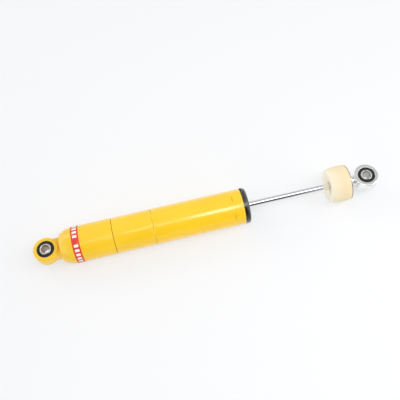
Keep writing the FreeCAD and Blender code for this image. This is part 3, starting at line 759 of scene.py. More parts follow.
def turned(name: str, profile: Profile, axis: Axis = Axis.ROD, centre: float = 0.0,
           segments: int = 128, steps: int = 6) -> Piece:
    """Turns a closed outline into a solid piece.

    Args:
        name: name of the piece.
        profile: outline, along and away from the axis.
        axis: the line that it is turned about.
        centre: place of a bolt axis along the rod.
        segments: steps in the full turn.
        steps: chords in each rounded corner.

    Returns:
        The piece, at the origin, with its place in its mesh.
    """
    def spot(point: Vector) -> Vector:
        """The outline's point in space, on the side of the piece that the turn starts from."""
        on_rod = axis is Axis.ROD
        return Vector((point.x, 0.0, point.y)) if on_rod else Vector((centre + point.y, 0.0, point.x))

    piece = drawn(name, [spot(point) for point in profile.points(steps)])
    pivot = (0.0, 0.0, 0.0) if axis is Axis.ROD else (centre, 0.0, 0.0)
    bpy.ops.mesh.spin(steps=segments, angle=FULL_TURN, center=pivot, axis=axis.value)
    finish_mesh()
    smooth_by_angle(piece)
    return piece


def thickened(name: str, outline: list[Vector], up: Vector) -> Piece:
    """Fills a flat closed outline and extrudes it into a block.

    Args:
        name: name of the piece.
        outline: corners of the outline, in order.
        up: how far and which way it is extruded.

    Returns:
        The piece, at the origin, with its place in its mesh.
    """
    piece = drawn(name, outline)
    bpy.ops.mesh.edge_face_add()
    bpy.ops.mesh.extrude_region_move(TRANSFORM_OT_translate={"value": up})
    finish_mesh()
    return piece


def drawn(name: str, spots: list[Vector]) -> Piece:
    """Draws a closed outline, vertex by vertex, and leaves it selected in edit mode.

    Args:
        name: name of the piece.
        spots: corners of the outline, in order.

    Returns:
        The piece, in edit mode.
    """
    deselect()
    bpy.ops.mesh.primitive_plane_add(size=MM)
    piece = bpy.context.object
    piece.name = piece.data.name = name
    bpy.ops.object.mode_set(mode="EDIT")
    bpy.ops.mesh.merge(type="CENTER")
    bpy.ops.transform.translate(value=spots[0])
    for here, there in zip(spots, spots[1:]):
        bpy.ops.mesh.extrude_vertices_move(TRANSFORM_OT_translate={"value": there - here})
    mesh = bmesh.from_edit_mesh(piece.data)
    for vertex in mesh.verts:
        to_end = min((vertex.co - spots[0]).length, (vertex.co - spots[-1]).length)
        vertex.select_set(to_end < SAME_PLACE)
    mesh.select_flush_mode()
    bmesh.update_edit_mesh(piece.data)
    bpy.ops.mesh.edge_face_add()
    bpy.ops.mesh.select_all(action="SELECT")
    return piece


def finish_mesh() -> None:
    """In edit mode, merges what coincides, turns all faces outwards and goes back to object mode."""
    bpy.ops.mesh.select_all(action="SELECT")
    bpy.ops.mesh.remove_doubles(threshold=MERGE_DISTANCE)
    bpy.ops.mesh.dissolve_degenerate(threshold=SAME_PLACE)
    bpy.ops.mesh.select_all(action="SELECT")
    bpy.ops.mesh.normals_make_consistent(inside=False)
    bpy.ops.object.mode_set(mode="OBJECT")


def melted(pieces: list[Piece], voxel: float, rounds: int) -> Piece:
    """Joins overlapping pieces into one skin and softens the lines where they meet.

    Args:
        pieces: overlapping closed pieces. The first one's name is kept.
        voxel: size of the cells that the skin is rebuilt from.
        rounds: times that the skin is smoothed.

    Returns:
        The joined piece.
    """
    pick(*pieces)
    if len(pieces) > 1:
        bpy.ops.object.join()
    joined = bpy.context.object
    apply_modifier(joined, "REMESH", mode="VOXEL", voxel_size=voxel)
    apply_modifier(joined, "SMOOTH", factor=0.5, iterations=rounds)
    smooth_by_angle(joined, MELTED_SHARP)
    return joined


def gathered(count: int, add: Callable[[int], None]) -> Piece:
    """Adds like shapes to one object.

    Args:
        count: how many shapes.
        add: adds the shape of that number, counted from nought.

    Returns:
        The object that holds them all.
    """
    deselect()
    add(0)
    piece = bpy.context.object
    bpy.ops.object.transform_apply(location=True, rotation=True, scale=True)
    bpy.ops.object.mode_set(mode="EDIT")
    for number in range(1, count):
        add(number)
    bpy.ops.object.mode_set(mode="OBJECT")
    return piece


def cut_ring(piece: Piece, count: int, first: float, add: Callable[[float], None]) -> None:
    """Cuts a ring of like shapes out of a piece.

    Args:
        piece: what is cut.
        count: shapes in the ring.
        first: angle of the first shape round the rod, from +Z towards -Y.
        add: adds the shape at an angle.
    """
    cutter = gathered(count, lambda number: add(first + number * FULL_TURN / count))
    apply_modifier(piece, "BOOLEAN", operation="DIFFERENCE", solver="EXACT", object=cutter)
    bpy.data.objects.remove(cutter)
    smooth_by_angle(piece)


def reach(node: str) -> float:
    """How far a node goes from the rod's axis."""
    low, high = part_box(node)
    return max(high.y, high.z, -low.y, -low.z)


def seat(piece: Piece, body: str, slot: str, *nodes: str) -> None:
    """Lets a piece ride on a body, and reports it.

    Args:
        piece: the finished piece.
        body: the body that carries it.
        slot: its slot in the record. Not used.
        nodes: the nodes that it stands for, if any.
    """
    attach(piece, body)
    if nodes:
        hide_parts(*nodes)
    LOG.info("%s rides on %s: %d faces", piece.name, body, len(piece.data.polygons))


YELLOW: Colour = (0.96, 0.605, 0.018)
SATIN_YELLOW = Paint("satin_yellow_paint", scaled(YELLOW, 0.972), 0.36, coat=0.7, coat_roughness=0.27,
                     shine=0.3)
GLOSS_YELLOW = Paint("gloss_yellow_paint", YELLOW, 0.30, coat=1.0, coat_roughness=0.14, shine=0.25)
BLACK_NUT = Paint("black_phosphate", (0.020, 0.018, 0.022), 0.36, coat=1.0, coat_roughness=0.24,
                  peel_pitch=0.7 * MM, tone=0.15)
ZINC = Metal("bright_zinc", (0.89, 0.89, 0.885), 0.23)
# Colour of the painted shade on the rim of the plate behind the foam.
ZINC_RIM_SHADE: Colour = (0.36, 0.32, 0.28)
CHROME = Chrome("hard_chrome", (0.88, 0.89, 0.91), 0.11)
BUSH_RUBBER = Rubber("bush_rubber", (0.016, 0.016, 0.015), 0.62)
SEAL_RUBBER = Rubber("seal_rubber", (0.018, 0.017, 0.017), 0.50, bloom=0.2)
CREAM_FOAM = Foam("cream_foam", (0.865, 0.775, 0.58), 0.62)
RED_FILM = Film("red_film", (0.76, 0.045, 0.020), 0.40)
# Steel of the sleeves; their bores get painted shade.
BORE_SHADED_STEEL = Metal("bore_shaded_steel", (0.74, 0.735, 0.73), 0.24, axis=Axis.BOLT)
INNER_STEEL = Metal("machined_steel", (0.56, 0.56, 0.57), 0.32)
SPRING_STEEL = Metal("spring_strip", (0.40, 0.41, 0.44), 0.30, line_pitch=0.9 * MM)
SINTERED_IRON = Metal("sintered_iron", (0.26, 0.25, 0.24), 0.55, line_pitch=0.6 * MM, cloud=0.2)
BRONZE = Metal("bearing_bronze", (0.60, 0.40, 0.17), 0.34)
# Colours of the painted shade in the sleeves' bores, brown in the lower eye and grey in the upper one.
BROWN_BORE_SHADE: Colour = (0.27, 0.21, 0.14)
GREY_BORE_SHADE: Colour = (0.46, 0.45, 0.41)
BEARING_PLASTIC = Rubber("bearing_plastic", (0.16, 0.12, 0.07), 0.45, bloom=0.15)


@dataclass
class Bushed:
    """Rubber and steel sleeve in one eye."""

    prefix: str
    eye_body: str
    # Colour of the painted shade in the sleeve's bore.
    shade_tint: Colour
    groove_depth: float = 1.6 * MM
    groove_half: float = 1.5 * MM
    groove_floor: float = 0.6 * MM
    bead: float = 0.5 * MM
    slip: float = 0.05 * MM
    sleeve_edge: float = 0.6 * MM
    sleeve_soft: float = 0.3
    # Share of the chamfer that the bore's painted shade reaches past the bore.
    bore_shade_edge: float = 0.5
    centre: float = field(init=False)

    def __post_init__(self) -> None:
        """Finds the bolt's axis."""
        low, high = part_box(self.sleeve_node)
        self.centre = (low.x + high.x) / 2.0

    @property
    def bush_node(self) -> str:
        """Name of the rubber's node."""
        return f"{self.prefix}_bush"

    @property
    def sleeve_node(self) -> str:
        """Name of the sleeve's node."""
        return f"{self.prefix}_sleeve"

    def build(self) -> None:
        """Models and dresses the rubber and the sleeve."""
        self.build_bush()
        self.build_sleeve()

    def build_bush(self) -> None:
        """Rubber with a moulded groove in each end face and lips at both of its edges."""
        low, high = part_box(self.bush_node)
        sleeve_low, sleeve_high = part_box(self.sleeve_node)
        half = (high.z - low.z) / 2.0
        outer = (high.x - low.x) / 2.0
        inner = (sleeve_high.x - sleeve_low.x) / 2.0 + self.slip
        middle = (inner + outer) / 2.0
        profile = Profile()
        for side in (-1.0, 1.0):
            start, end = (inner, outer) if side < 0.0 else (outer, inner)
            profile.to(side * half, start, self.bead)
            profile.to(side * half, middle + side * self.groove_half, self.bead)
            profile.to(side * (half - self.groove_depth), middle, self.groove_floor)
            profile.to(side * half, middle - side * self.groove_half, self.bead)
            profile.to(side * half, end, self.bead)
        bush = turned(f"{self.prefix}_bush_rubber", profile, Axis.BOLT, self.centre)
        dress(bush, BUSH_RUBBER)
        seat(bush, self.eye_body, "bush_rubber", self.bush_node)

    def build_sleeve(self) -> None:
        """Steel sleeve with chamfered, slightly rounded ends."""
        low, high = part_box(self.sleeve_node)
        half = (high.z - low.z) / 2.0
        outer = (high.x - low.x) / 2.0
        bore = frame["record"]["mounts"][0]["dims"]["r_mm"] * MM
        edge = self.sleeve_edge
        corners = [(half - edge, bore), (half, bore + edge), (half, outer - edge), (half - edge, outer)]
        profile = Profile()
        for along, away in corners:
            profile.to(-along, away, edge * self.sleeve_soft)
        for along, away in reversed(corners):
            profile.to(along, away, edge * self.sleeve_soft)
        sleeve = turned(f"{self.prefix}_sleeve_tube", profile, Axis.BOLT, self.centre, steps=3)
        # Painted shade in the bore of the sleeve.
        dress(sleeve, replace(BORE_SHADED_STEEL, name=f"{self.prefix}_bore_shaded_steel", centre=self.centre,
                              shade_tint=self.shade_tint, shade_band_to=bore + edge * self.bore_shade_edge))
        seat(sleeve, self.sleeve_node, "sleeve_steel", self.sleeve_node)


@dataclass
class Eye:
    """Ring of an eye and what it stands on."""

    node: str
    body: str
    centre: float
    bore: float
    edge: float = 1.4 * MM
    voxel: float = 0.36 * MM
    ring: float = field(init=False)
    half: float = field(init=False)

    def __post_init__(self) -> None:
        """Reads the ring's size from its node."""
        low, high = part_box(self.node)
        self.ring = (high.y - low.y) / 2.0
        self.half = (high.z - low.z) / 2.0

    def ring_piece(self, name: str) -> Piece:
        """The ring, bored for its rubber.

        Args:
            name: name of the piece.

        Returns:
            The ring.
        """
        profile = Profile()
        profile.to(-self.half, self.bore).to(-self.half, self.ring, self.edge)
        profile.to(self.half, self.ring, self.edge).to(self.half, self.bore)
        return turned(name, profile, Axis.BOLT, self.centre)


@dataclass
class LowerEye(Eye):
    """Painted eye on a flat-sided neck, welded to the base."""

    neck_half_width: float = 16.5 * MM
    neck_half_thickness: float = 8.0 * MM
    neck_blend: float = 7.0 * MM
    blend_steps: int = 6
    root_angles: Span = (0.7, 0.35)
    rounds: int = 18
    bead_radius: float = 2.3 * MM
    bead_pitch: float = 2.5 * MM
    bead_voxel: float = 0.4 * MM
    bead_rounds: int = 2

    def build(self) -> None:
        """Models the ring and neck as one forging, lays the weld and paints both."""
        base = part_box("base_cup")[0].x
        ring = self.ring_piece("lower_eye_forging")
        up = Vector((0.0, 0.0, 2.0 * self.neck_half_thickness))
        neck = thickened("neck", self.neck_outline(base), up)
        forging = melted([ring, neck], self.voxel, self.rounds)
        dress(forging, SATIN_YELLOW)
        seat(forging, self.body, "yellow_paint", self.node)
        self.build_weld(base)

    def neck_outline(self, base: float) -> list[Vector]:
        """Underside of the neck: inside the ring's wall, out along the blends and straight to the base.

        Args:
            base: place of the base along the rod.

        Returns:
            Corners of the outline, in order.
        """
        blend_up = self.neck_half_width + self.neck_blend
        blend_along = math.sqrt((self.ring + self.neck_blend) ** 2 - blend_up ** 2)
        turn = math.atan2(blend_along, blend_up)
        side = [Vector((base, self.neck_half_width))]
        for step in range(self.blend_steps + 1):
            angle = turn * step / self.blend_steps
            side.append(Vector((blend_along - self.neck_blend * math.sin(angle),
                                blend_up - self.neck_blend * math.cos(angle))))
        wall = (self.bore + self.ring) / 2.0
        side.append(side[-1] * (wall / self.ring))
        side.extend(Vector((wall * math.cos(angle), wall * math.sin(angle))) for angle in self.root_angles)
        other = [Vector((corner.x, -corner.y)) for corner in reversed(side)]
        middle = [Vector((wall, 0.0))]
        return [Vector((spot.x, spot.y, -self.neck_half_thickness)) for spot in side + middle + other]

    def build_weld(self, base: float) -> None:
        """Weld bead round the foot of the neck, laid as overlapping ripples.

        Args:
            base: place of the base along the rod.
        """
        run = 4.0 * (self.neck_half_width + self.neck_half_thickness)
        count = int(run / self.bead_pitch)

        def add_ripple(number: int) -> None:
            """Adds one ripple, that many steps round the foot."""
            bpy.ops.mesh.primitive_ico_sphere_add(
                subdivisions=2, radius=self.bead_radius, location=(base, *self.on_foot(number * run / count)))

        weld = gathered(count, add_ripple)
        weld.name = weld.data.name = "neck_weld_bead"
        weld = melted([weld], self.bead_voxel, self.bead_rounds)
        dress(weld, SATIN_YELLOW)
        seat(weld, self.body, "yellow_paint")

    def on_foot(self, way: float) -> Span:
        """Place on the edge of the neck's foot after that much of the way round it.

        Args:
            way: distance round the foot, from the middle of its -Y side.

        Returns:
            The place across and up.
        """
        wide = self.neck_half_width
        thick = self.neck_half_thickness
        corners = [(-wide, 0.0), (-wide, thick), (wide, thick), (wide, -thick), (-wide, -thick), (-wide, 0.0)]
        for (across, up), (next_across, next_up) in zip(corners, corners[1:]):
            length = math.hypot(next_across - across, next_up - up)
            if way <= length:
                share = way / length
                return across + (next_across - across) * share, up + (next_up - up) * share
            way -= length
        return corners[-1]


@dataclass
class UpperEye(Eye):
    """Plated eye on a round shank."""

    shank_radius: float = 6.5 * MM
    shank_edge: float = 0.8 * MM
    flare: float = 3.5 * MM
    flare_share: float = 0.7
    into_ring: float = 1.5 * MM
    bore_margin: float = 1.0 * MM
    rounds: int = 5

    def build(self) -> None:
        """Models the ring and shank as one forging and plates it."""
        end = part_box(self.node)[0].x
        ring_side = self.centre - self.ring
        inside = self.centre - self.bore - self.bore_margin
        flared = self.shank_radius + self.flare * self.flare_share
        shank = Profile()
        shank.to(end, 0.0).to(end, self.shank_radius, self.shank_edge)
        shank.to(ring_side - self.flare, self.shank_radius, self.flare)
        shank.to(ring_side + self.into_ring, flared).to(inside, flared).to(inside, 0.0)
        pieces = [self.ring_piece("upper_eye_forging"), turned("shank", shank)]
        forging = melted(pieces, self.voxel, self.rounds)
        dress(forging, ZINC)
        seat(forging, self.body, "zinc_plate", self.node)


@dataclass
class Body:
    """Painted body: base cup, reservoir tube and the band."""

    wall: float = 3.0 * MM
    edge: float = 0.5 * MM
    face_edge: float = 2.5 * MM
    facets: int = 3
    shoulder: float = 20.0 * MM
    face_radius: float = 22.5 * MM
    floor_radius: float = 22.0 * MM
    facet_rounding: float = 1.5 * MM
    spigot: float = 15.0 * MM
    spigot_slip: float = 0.02 * MM
    spigot_edge: float = 0.3 * MM
    joint_gap: float = 0.8 * MM
    roll_from_joint: float = 65.0 * MM
    roll_half: float = 1.6 * MM
    roll_depth: float = 0.8 * MM
    roll_edge: float = 0.8 * MM
    roll_floor: float = 1.2 * MM
    tube_segments: int = 160
    dents: int = 6
    dent_turn: float = math.radians(-5.0)
    dent_from_end: float = 16.7 * MM
    dent_half: float = 2.0 * MM
    dent_depth: float = 1.0 * MM
    dent_margin: float = 0.5 * MM
    bar_length: float = 22.0 * MM
    bar_sides: int = 64
    mouth_roll: float = 5.0 * MM
    mouth_drop: float = 0.9 * MM
    film_edge: float = 0.1 * MM

    def build(self) -> None:
        """Models and dresses every piece of the body."""
        self.build_cup()
        self.build_tube()
        self.build_band()

    def build_cup(self) -> None:
        """Closed lower length, with its shoulder rolled in facets."""
        low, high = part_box("base_cup")
        radius = reach("base_cup")
        rise = radius - self.face_radius
        bore = radius - self.wall
        socket = bore + self.wall / 2.0
        profile = Profile().to(low.x, 0.0)
        for step in range(self.facets + 1):
            share = step / self.facets
            away = self.face_radius + rise * math.sin(share * QUARTER_TURN)
            rounding = self.face_edge if step == 0 else self.facet_rounding
            profile.to(low.x + self.shoulder * share, away, rounding)
        profile.to(high.x, radius, self.edge).to(high.x, socket)
        profile.to(high.x - self.spigot, socket).to(high.x - self.spigot, bore)
        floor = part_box("foot_valve_body")[0].x
        profile.to(low.x + self.shoulder, bore).to(floor, self.floor_radius).to(floor, 0.0)
        cup = turned("base_cup_shell", profile)
        dress(cup, SATIN_YELLOW)
        seat(cup, "barrel", "yellow_paint", "base_cup")

    def build_tube(self) -> None:
        """Upper length: spigot in the cup, rolled groove, staked dents and a mouth rolled in over the nut."""
        low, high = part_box("reservoir_tube")
        radius = reach("base_cup")
        bore = radius - self.wall
        spigot = bore + self.wall / 2.0 - self.spigot_slip
        skin = low.x + self.spigot + self.joint_gap
        roll = skin + self.roll_from_joint
        dent = high.x - self.dent_from_end
        clear = self.dent_half + self.dent_margin
        mouth = high.x - self.mouth_roll
        profile = Profile().to(low.x, bore).to(low.x, spigot, self.spigot_edge).to(skin, spigot)
        profile.to(skin, radius, self.edge).to(roll - self.roll_half, radius, self.roll_edge)
        profile.to(roll, radius - self.roll_depth, self.roll_floor)
        profile.to(roll + self.roll_half, radius, self.roll_edge)
        profile.to(dent - clear, radius).to(dent + clear, radius).to(mouth, radius)
        profile.bow(high.x, radius - self.mouth_drop, self.mouth_drop / 4.0).to(high.x, bore)
        tube = turned("reservoir_shell", profile, segments=self.tube_segments)
        self.press_dents(tube, dent, radius)
        # Painted shade in the tube's groove, dents and joint gap, up to its mouth.
        dress(tube, replace(GLOSS_YELLOW, skin_radius=radius, recess_shade_to=mouth))
        seat(tube, "barrel", "yellow_paint", "reservoir_tube")

    def press_dents(self, tube: Piece, station: float, radius: float) -> None:
        """Presses a ring of short marks into the tube with straight round bars.

        Args:
            tube: the piece that is pressed.
            station: place of the ring along the rod.
            radius: outer radius of the tube.
        """
        bar_radius = (self.dent_half ** 2 + self.dent_depth ** 2) / (2.0 * self.dent_depth)
        away = radius + bar_radius - self.dent_depth

        def add_bar(angle: float) -> None:
            """Adds one bar, across the tube at that angle."""
            bpy.ops.mesh.primitive_cylinder_add(
                vertices=self.bar_sides, radius=bar_radius, depth=self.bar_length,
                location=(station, -away * math.sin(angle), away * math.cos(angle)),
                rotation=(angle + QUARTER_TURN, 0.0, 0.0))

        cut_ring(tube, self.dents, self.dent_turn, add_bar)

    def build_band(self) -> None:
        """Film wrapped round the base cup."""
        low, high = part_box("label_band")
        outer = reach("label_band")
        inner = reach("base_cup")
        profile = Profile().to(low.x, inner).to(low.x, outer, self.film_edge)
        profile.to(high.x, outer, self.film_edge).to(high.x, inner)
        band = turned("body_band", profile, steps=2)
        dress(band, replace(RED_FILM, middle=(low.x + high.x) / 2.0))
        seat(band, "barrel", "red_band", "label_band")


@dataclass
class Gland:
    """Gland nut and the dust lip in its face."""

    edge: float = 4.0 * MM
    shoulder_edge: float = 0.25 * MM
    recess: float = 10.0 * MM
    recess_edge: float = 0.5 * MM
    rod_hole: float = 5.8 * MM
    skirt_inset: float = 3.03 * MM
    washer_slip: float = 0.03 * MM
    segments: int = 160
    slots: int = 4
    first_slot: float = math.radians(42.0)
    slot_width: float = 14.0 * MM
    slot_length: float = 3.0 * MM
    slot_depth: float = 5.0 * MM
    slot_margin: float = 0.1 * MM
    skin_depth: float = 0.2 * MM
    lip_slip: float = 0.03 * MM
    lip_wall: float = 1.0 * MM
    lip_root: float = 0.4 * MM
    lip_flank: float = 0.6 * MM
    lip_edge: float = 0.3 * MM
    lip_relief: float = 1.2 * MM

    def build(self) -> None:
        """Models and dresses the nut and the lip."""
        self.build_nut()
        self.build_lip()

    def build_nut(self) -> None:
        """Ring nut with a rounded face edge and spanner slots beside the tube."""
        low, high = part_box("gland_nut")
        radius = reach("gland_nut")
        tube_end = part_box("reservoir_tube")[1].x
        skirt = reach("reservoir_tube") - self.skirt_inset
        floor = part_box("wiper_ring")[0].x
        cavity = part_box("seal_washer")[1].x
        cavity_radius = reach("seal_washer") + self.washer_slip
        profile = Profile().to(low.x, cavity_radius).to(low.x, skirt).to(tube_end, skirt)
        profile.to(tube_end, radius, self.shoulder_edge).to(tube_end + self.slot_length, radius)
        profile.to(high.x, radius, self.edge).to(high.x, self.recess, self.recess_edge)
        profile.to(floor, self.recess).to(floor, self.rod_hole)
        profile.to(cavity, self.rod_hole).to(cavity, cavity_radius)
        nut = turned("gland_ring_nut", profile, segments=self.segments)
        self.cut_slots(nut, tube_end, radius)
        smooth_by_angle(nut)
        dress(nut, BLACK_NUT)
        seat(nut, "barrel", "black_nut", "gland_nut")

    def cut_slots(self, nut: Piece, tube_end: float, radius: float) -> None:
        """Sinks the spanner slots into the flange, next to the tube.

        Args:
            nut: the turned nut.
            tube_end: place of the tube's end along the rod.
            radius: outer radius of the flange.
        """
        half = self.slot_width / radius / 2.0
        pick(nut)
        bpy.ops.object.mode_set(mode="EDIT")
        for number in range(self.slots):
            angle = self.first_slot + number * FULL_TURN / self.slots
            out = Vector((0.0, -math.sin(angle), math.cos(angle)))
            bpy.ops.mesh.select_all(action="DESELECT")
            mesh = bmesh.from_edit_mesh(nut.data)
            for face in mesh.faces:
                middle = face.calc_center_median()
                across = Vector((0.0, middle.y, middle.z))
                in_band = tube_end + self.slot_margin < middle.x < tube_end + self.slot_length
                on_skin = across.length > radius - self.skin_depth
                face.select_set(in_band and on_skin and across.angle(out) < half)
            bmesh.update_edit_mesh(nut.data)
            bpy.ops.mesh.extrude_region_move(TRANSFORM_OT_translate={"value": out * -self.slot_depth})
        bpy.ops.mesh.select_all(action="SELECT")
        bpy.ops.mesh.normals_make_consistent(inside=False)
        bpy.ops.object.mode_set(mode="OBJECT")

    def build_lip(self) -> None:
        """Dust lip that stands out of the nut's face and hugs the rod."""
        low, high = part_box("wiper_ring")
        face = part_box("gland_nut")[1].x
        outer = reach("wiper_ring")
        rod = reach("piston_rod") + self.lip_slip
        relief = rod + self.lip_wall
        profile = Profile().to(low.x, relief).to(low.x, outer).to(face, outer, self.lip_root)
        profile.to(face, (outer + relief) / 2.0, self.lip_flank).to(high.x, relief, self.lip_edge)
        profile.to(high.x, rod).to(face - self.lip_relief, relief)
        lip = turned("dust_lip", profile, segments=96, steps=4)
        dress(lip, SEAL_RUBBER)
        seat(lip, "barrel", "seal_rubber", "wiper_ring")


@dataclass
class RodEnd:
    """Chromed rod, foam bump stop and the washer behind it."""

    rod_radius: float = 5.0 * MM
    rod_edge: float = 0.4 * MM
    tenon: float = 4.0 * MM
    tenon_edge: float = 0.6 * MM
    top_tenon: float = 9.0 * MM
    clip_depth: float = 0.8 * MM
    foam_slip: float = 0.1 * MM
    foam_segments: int = 144
    pocket_depth: float = 5.0 * MM
    pocket_radius: float = 7.6 * MM
    pocket_floor: float = 1.0 * MM
    pocket_flare: Span = (1.0 * MM, 0.8 * MM)
    dish_depth: float = 3.0 * MM
    dish_bulge: float = 0.5 * MM
    rim_radius: float = 25.5 * MM
    rim_bulge: float = 0.5 * MM
    shoulder_radius: float = 28.0 * MM
    shoulder_at: float = 2.0 * MM
    side_bulge: float = 0.57 * MM
    belly_from_seat: float = 12.0 * MM
    back_radius: float = 29.3 * MM
    back_bulge: float = 0.25 * MM
    back_edge: float = 1.0 * MM
    edge_bulge: float = 0.2 * MM
    washer_slip: float = 0.05 * MM
    washer_flange: float = 1.2 * MM
    washer_edge: float = 0.3 * MM
    collar_root: float = 0.8 * MM
    collar_radius: float = 15.0 * MM
    collar_edge: float = 0.6 * MM
    collar_bevel: float = 2.0 * MM
    collar_rise: float = 4.0 * MM
    collar_top: float = 0.4 * MM
    # Width of the painted shade on the plate's rim, and how far past the rim it reaches.
    rim_shade_width: float = 6.0 * MM
    rim_shade_past: float = 1.0 * MM

    def build(self) -> None:
        """Models and dresses the rod, the foam and the washer."""
        self.build_rod()
        self.build_foam()
        self.build_washer()

    def build_rod(self) -> None:
        """Rod with a tenon at each end and a groove for the clip."""
        low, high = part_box("piston_rod")
        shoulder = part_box("piston_stop_plate")[1].x
        clip_low, clip_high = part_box("rebound_clip")
        groove = self.rod_radius - self.clip_depth
        top = high.x - self.top_tenon
        profile = Profile().to(low.x, 0.0).to(low.x, self.tenon, self.tenon_edge)
        profile.to(shoulder, self.tenon).to(shoulder, self.rod_radius, self.rod_edge)
        profile.to(clip_low.x, self.rod_radius).to(clip_low.x, groove)
        profile.to(clip_high.x, groove).to(clip_high.x, self.rod_radius)
        profile.to(top, self.rod_radius, self.rod_edge).to(top, self.tenon)
        profile.to(high.x, self.tenon, self.tenon_edge).to(high.x, 0.0)
        rod = turned("chrome_rod", profile, segments=96, steps=3)
        dress(rod, CHROME)
        seat(rod, "rod", "chrome_rod", "piston_rod")

    def build_foam(self) -> None:
        """Foam with a dished mouth, a pocket round the rod, a barrel side and a flat seat."""
        low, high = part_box("bump_stop")
        belly = reach("bump_stop")
        bore = self.rod_radius + self.foam_slip
        floor = low.x + self.pocket_depth
        dish = low.x + self.dish_depth
        belly_at = high.x - self.belly_from_seat
        deeper, wider = self.pocket_flare
        profile = Profile().to(floor, bore).to(floor, self.pocket_radius, self.pocket_floor)
        profile.to(dish + deeper, self.pocket_radius).to(dish, self.pocket_radius + wider)
        profile.bow(low.x, self.rim_radius, self.dish_bulge)
        profile.bow(low.x + self.shoulder_at, self.shoulder_radius, self.rim_bulge, steps=6)
        profile.bow(belly_at, belly, self.side_bulge, steps=16)
        profile.bow(high.x - self.back_edge, self.back_radius, self.back_bulge)
        profile.bow(high.x, self.back_radius - self.back_edge, self.edge_bulge, steps=4)
        profile.to(high.x, bore)
        foam = turned("foam_bump_stop", profile, segments=self.foam_segments)
        dress(foam, replace(CREAM_FOAM, mouth_to=low.x, aged_from=dish, aged_to=belly_at))
        seat(foam, "rod", "cream_foam", "bump_stop")

    def build_washer(self) -> None:
        """Thin stop plate with a bevelled collar towards the eye."""
        low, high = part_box("bump_washer")
        outer = reach("bump_washer")
        back = low.x + self.washer_flange
        bore = self.rod_radius + self.washer_slip
        profile = Profile().to(low.x, bore).to(low.x, outer, self.washer_edge)
        profile.to(back, outer, self.washer_edge).to(back, self.collar_radius, self.collar_root)
        profile.to(high.x - self.collar_bevel, self.collar_radius, self.collar_edge)
        profile.to(high.x, self.collar_radius - self.collar_rise, self.collar_top).to(high.x, bore)
        washer = turned("bump_stop_washer", profile, steps=4)
        # Painted shade on the rim of the plate.
        dress(washer, replace(ZINC, name="rim_shaded_zinc", shade_tint=ZINC_RIM_SHADE,
                              shade_band_from=outer - self.rim_shade_width, shade_band_to=outer + self.rim_shade_past))
        seat(washer, "rod", "zinc_plate", "bump_washer")


@dataclass
class CheckSpring:
    """Coned star spring on one of the plate valves."""

    valve: str
    body: str
    gauge: float = 0.4 * MM
    edge: float = 0.08 * MM
    foot_radius: float = 13.5 * MM
    head_radius: float = 9.0 * MM
    slots: int = 6
    slot_width: float = 2.0 * MM
    clearance: float = 0.02 * MM

    def build(self) -> None:
        """Models and dresses the spring, gives it its own mesh and works out the share of its height left
        when its plate lifts; it is not squashed.
        """
        node = f"{self.valve}_check_spring"
        joint = f"{self.valve}_check_lift"
        low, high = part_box(node)
        foot, head, gauge = self.foot_radius, self.head_radius, self.gauge
        profile = Profile().to(low.x, foot - gauge, self.edge).to(low.x, foot, self.edge)
        profile.to(low.x + gauge, foot, self.edge).to(high.x, head, self.edge)
        profile.to(high.x, head - gauge, self.edge).to(high.x - gauge, head - gauge, self.edge)
        spring = turned(f"{self.valve}_star_spring", profile, segments=96, steps=2)
        height = high.x - low.x
        middle = (low.x + high.x) / 2.0
        slot_end = (foot + head) / 2.0

        def add_slot(angle: float) -> None:
            """Adds the block that one slot is cut with, from half-way down the cone outwards."""
            away = slot_end + foot / 2.0
            bpy.ops.mesh.primitive_cube_add(
                size=1.0, location=(middle, -away * math.sin(angle), away * math.cos(angle)),
                rotation=(angle, 0.0, 0.0), scale=(2.0 * height, self.slot_width, foot))

        cut_ring(spring, self.slots, 0.0, add_slot)
        dress(spring, SPRING_STEEL)
        seat(spring, self.body, "spring_steel", node)
        rows = frame["record"]["behaviour"]["joints"]
        lift = next(row["range_m"][1] for row in rows if row["name"] == joint)
        keep = (height - lift - self.clearance) / height
        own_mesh(spring)


INNER_FINISHES: dict[str, Finish] = {
    "inner_steel": INNER_STEEL,
    "spring_steel": SPRING_STEEL,
    "sintered_iron": SINTERED_IRON,
    "bush_bronze": BRONZE,
    "bearing_plastic": BEARING_PLASTIC,
    "seal_rubber": SEAL_RUBBER,
}


def dress_inner_nodes() -> None:
    """Gives every node that stays as built the finish of its slot in the record."""
    for row in frame["record"]["subparts"]:
        node = frame["nodes"][row["node"]]
        if node.hide_render:
            continue
        dress(node, INNER_FINISHES[row["material_slot"]])
        LOG.info("%s keeps its own shape", node.name)


@dataclass(frozen=True)
class Lamp:
    """Flat soft lamp."""

    name: str
    power: float
    place: Place
    aim: Place
    size: Span

    def build(self) -> None:
        """Hangs the lamp, turned towards what it is aimed at."""
        data = bpy.data.lights.new(self.name, "AREA")
        data.shape = "RECTANGLE"
        data.size, data.size_y = self.size
        data.energy = self.power
        lamp = bpy.data.objects.new(self.name, data)
        bpy.context.scene.collection.objects.link(lamp)
        lamp.location = self.place
        aim = Vector(self.aim) - Vector(self.place)
        lamp.rotation_euler = aim.to_track_quat("-Z", "Y").to_euler()


LAMPS = (
    Lamp("tube_window", 1.6, (0.365, -0.400, 1.036), (0.365, 0.0, 0.0), (0.19, 0.32)),
    Lamp("rod_window", 1.0, (0.735, -0.400, 1.036), (0.735, 0.0, 0.0), (0.53, 0.24)),
    Lamp("rod_window_top", 0.80, (0.780, -0.173, 1.097), (0.780, 0.0, 0.0), (0.44, 0.231)),
    Lamp("faint_window", 0.28, (0.070, -0.400, 1.036), (0.070, 0.0, 0.0), (0.20, 0.12)),
    Lamp("right_fill", 4.0, (1.400, -0.300, 1.000), (0.300, 0.0, 0.0), (0.70, 0.70)),
    Lamp("back_fill", 2.5, (-0.600, 1.000, 1.000), (0.100, 0.0, 0.0), (0.60, 0.60)),
)


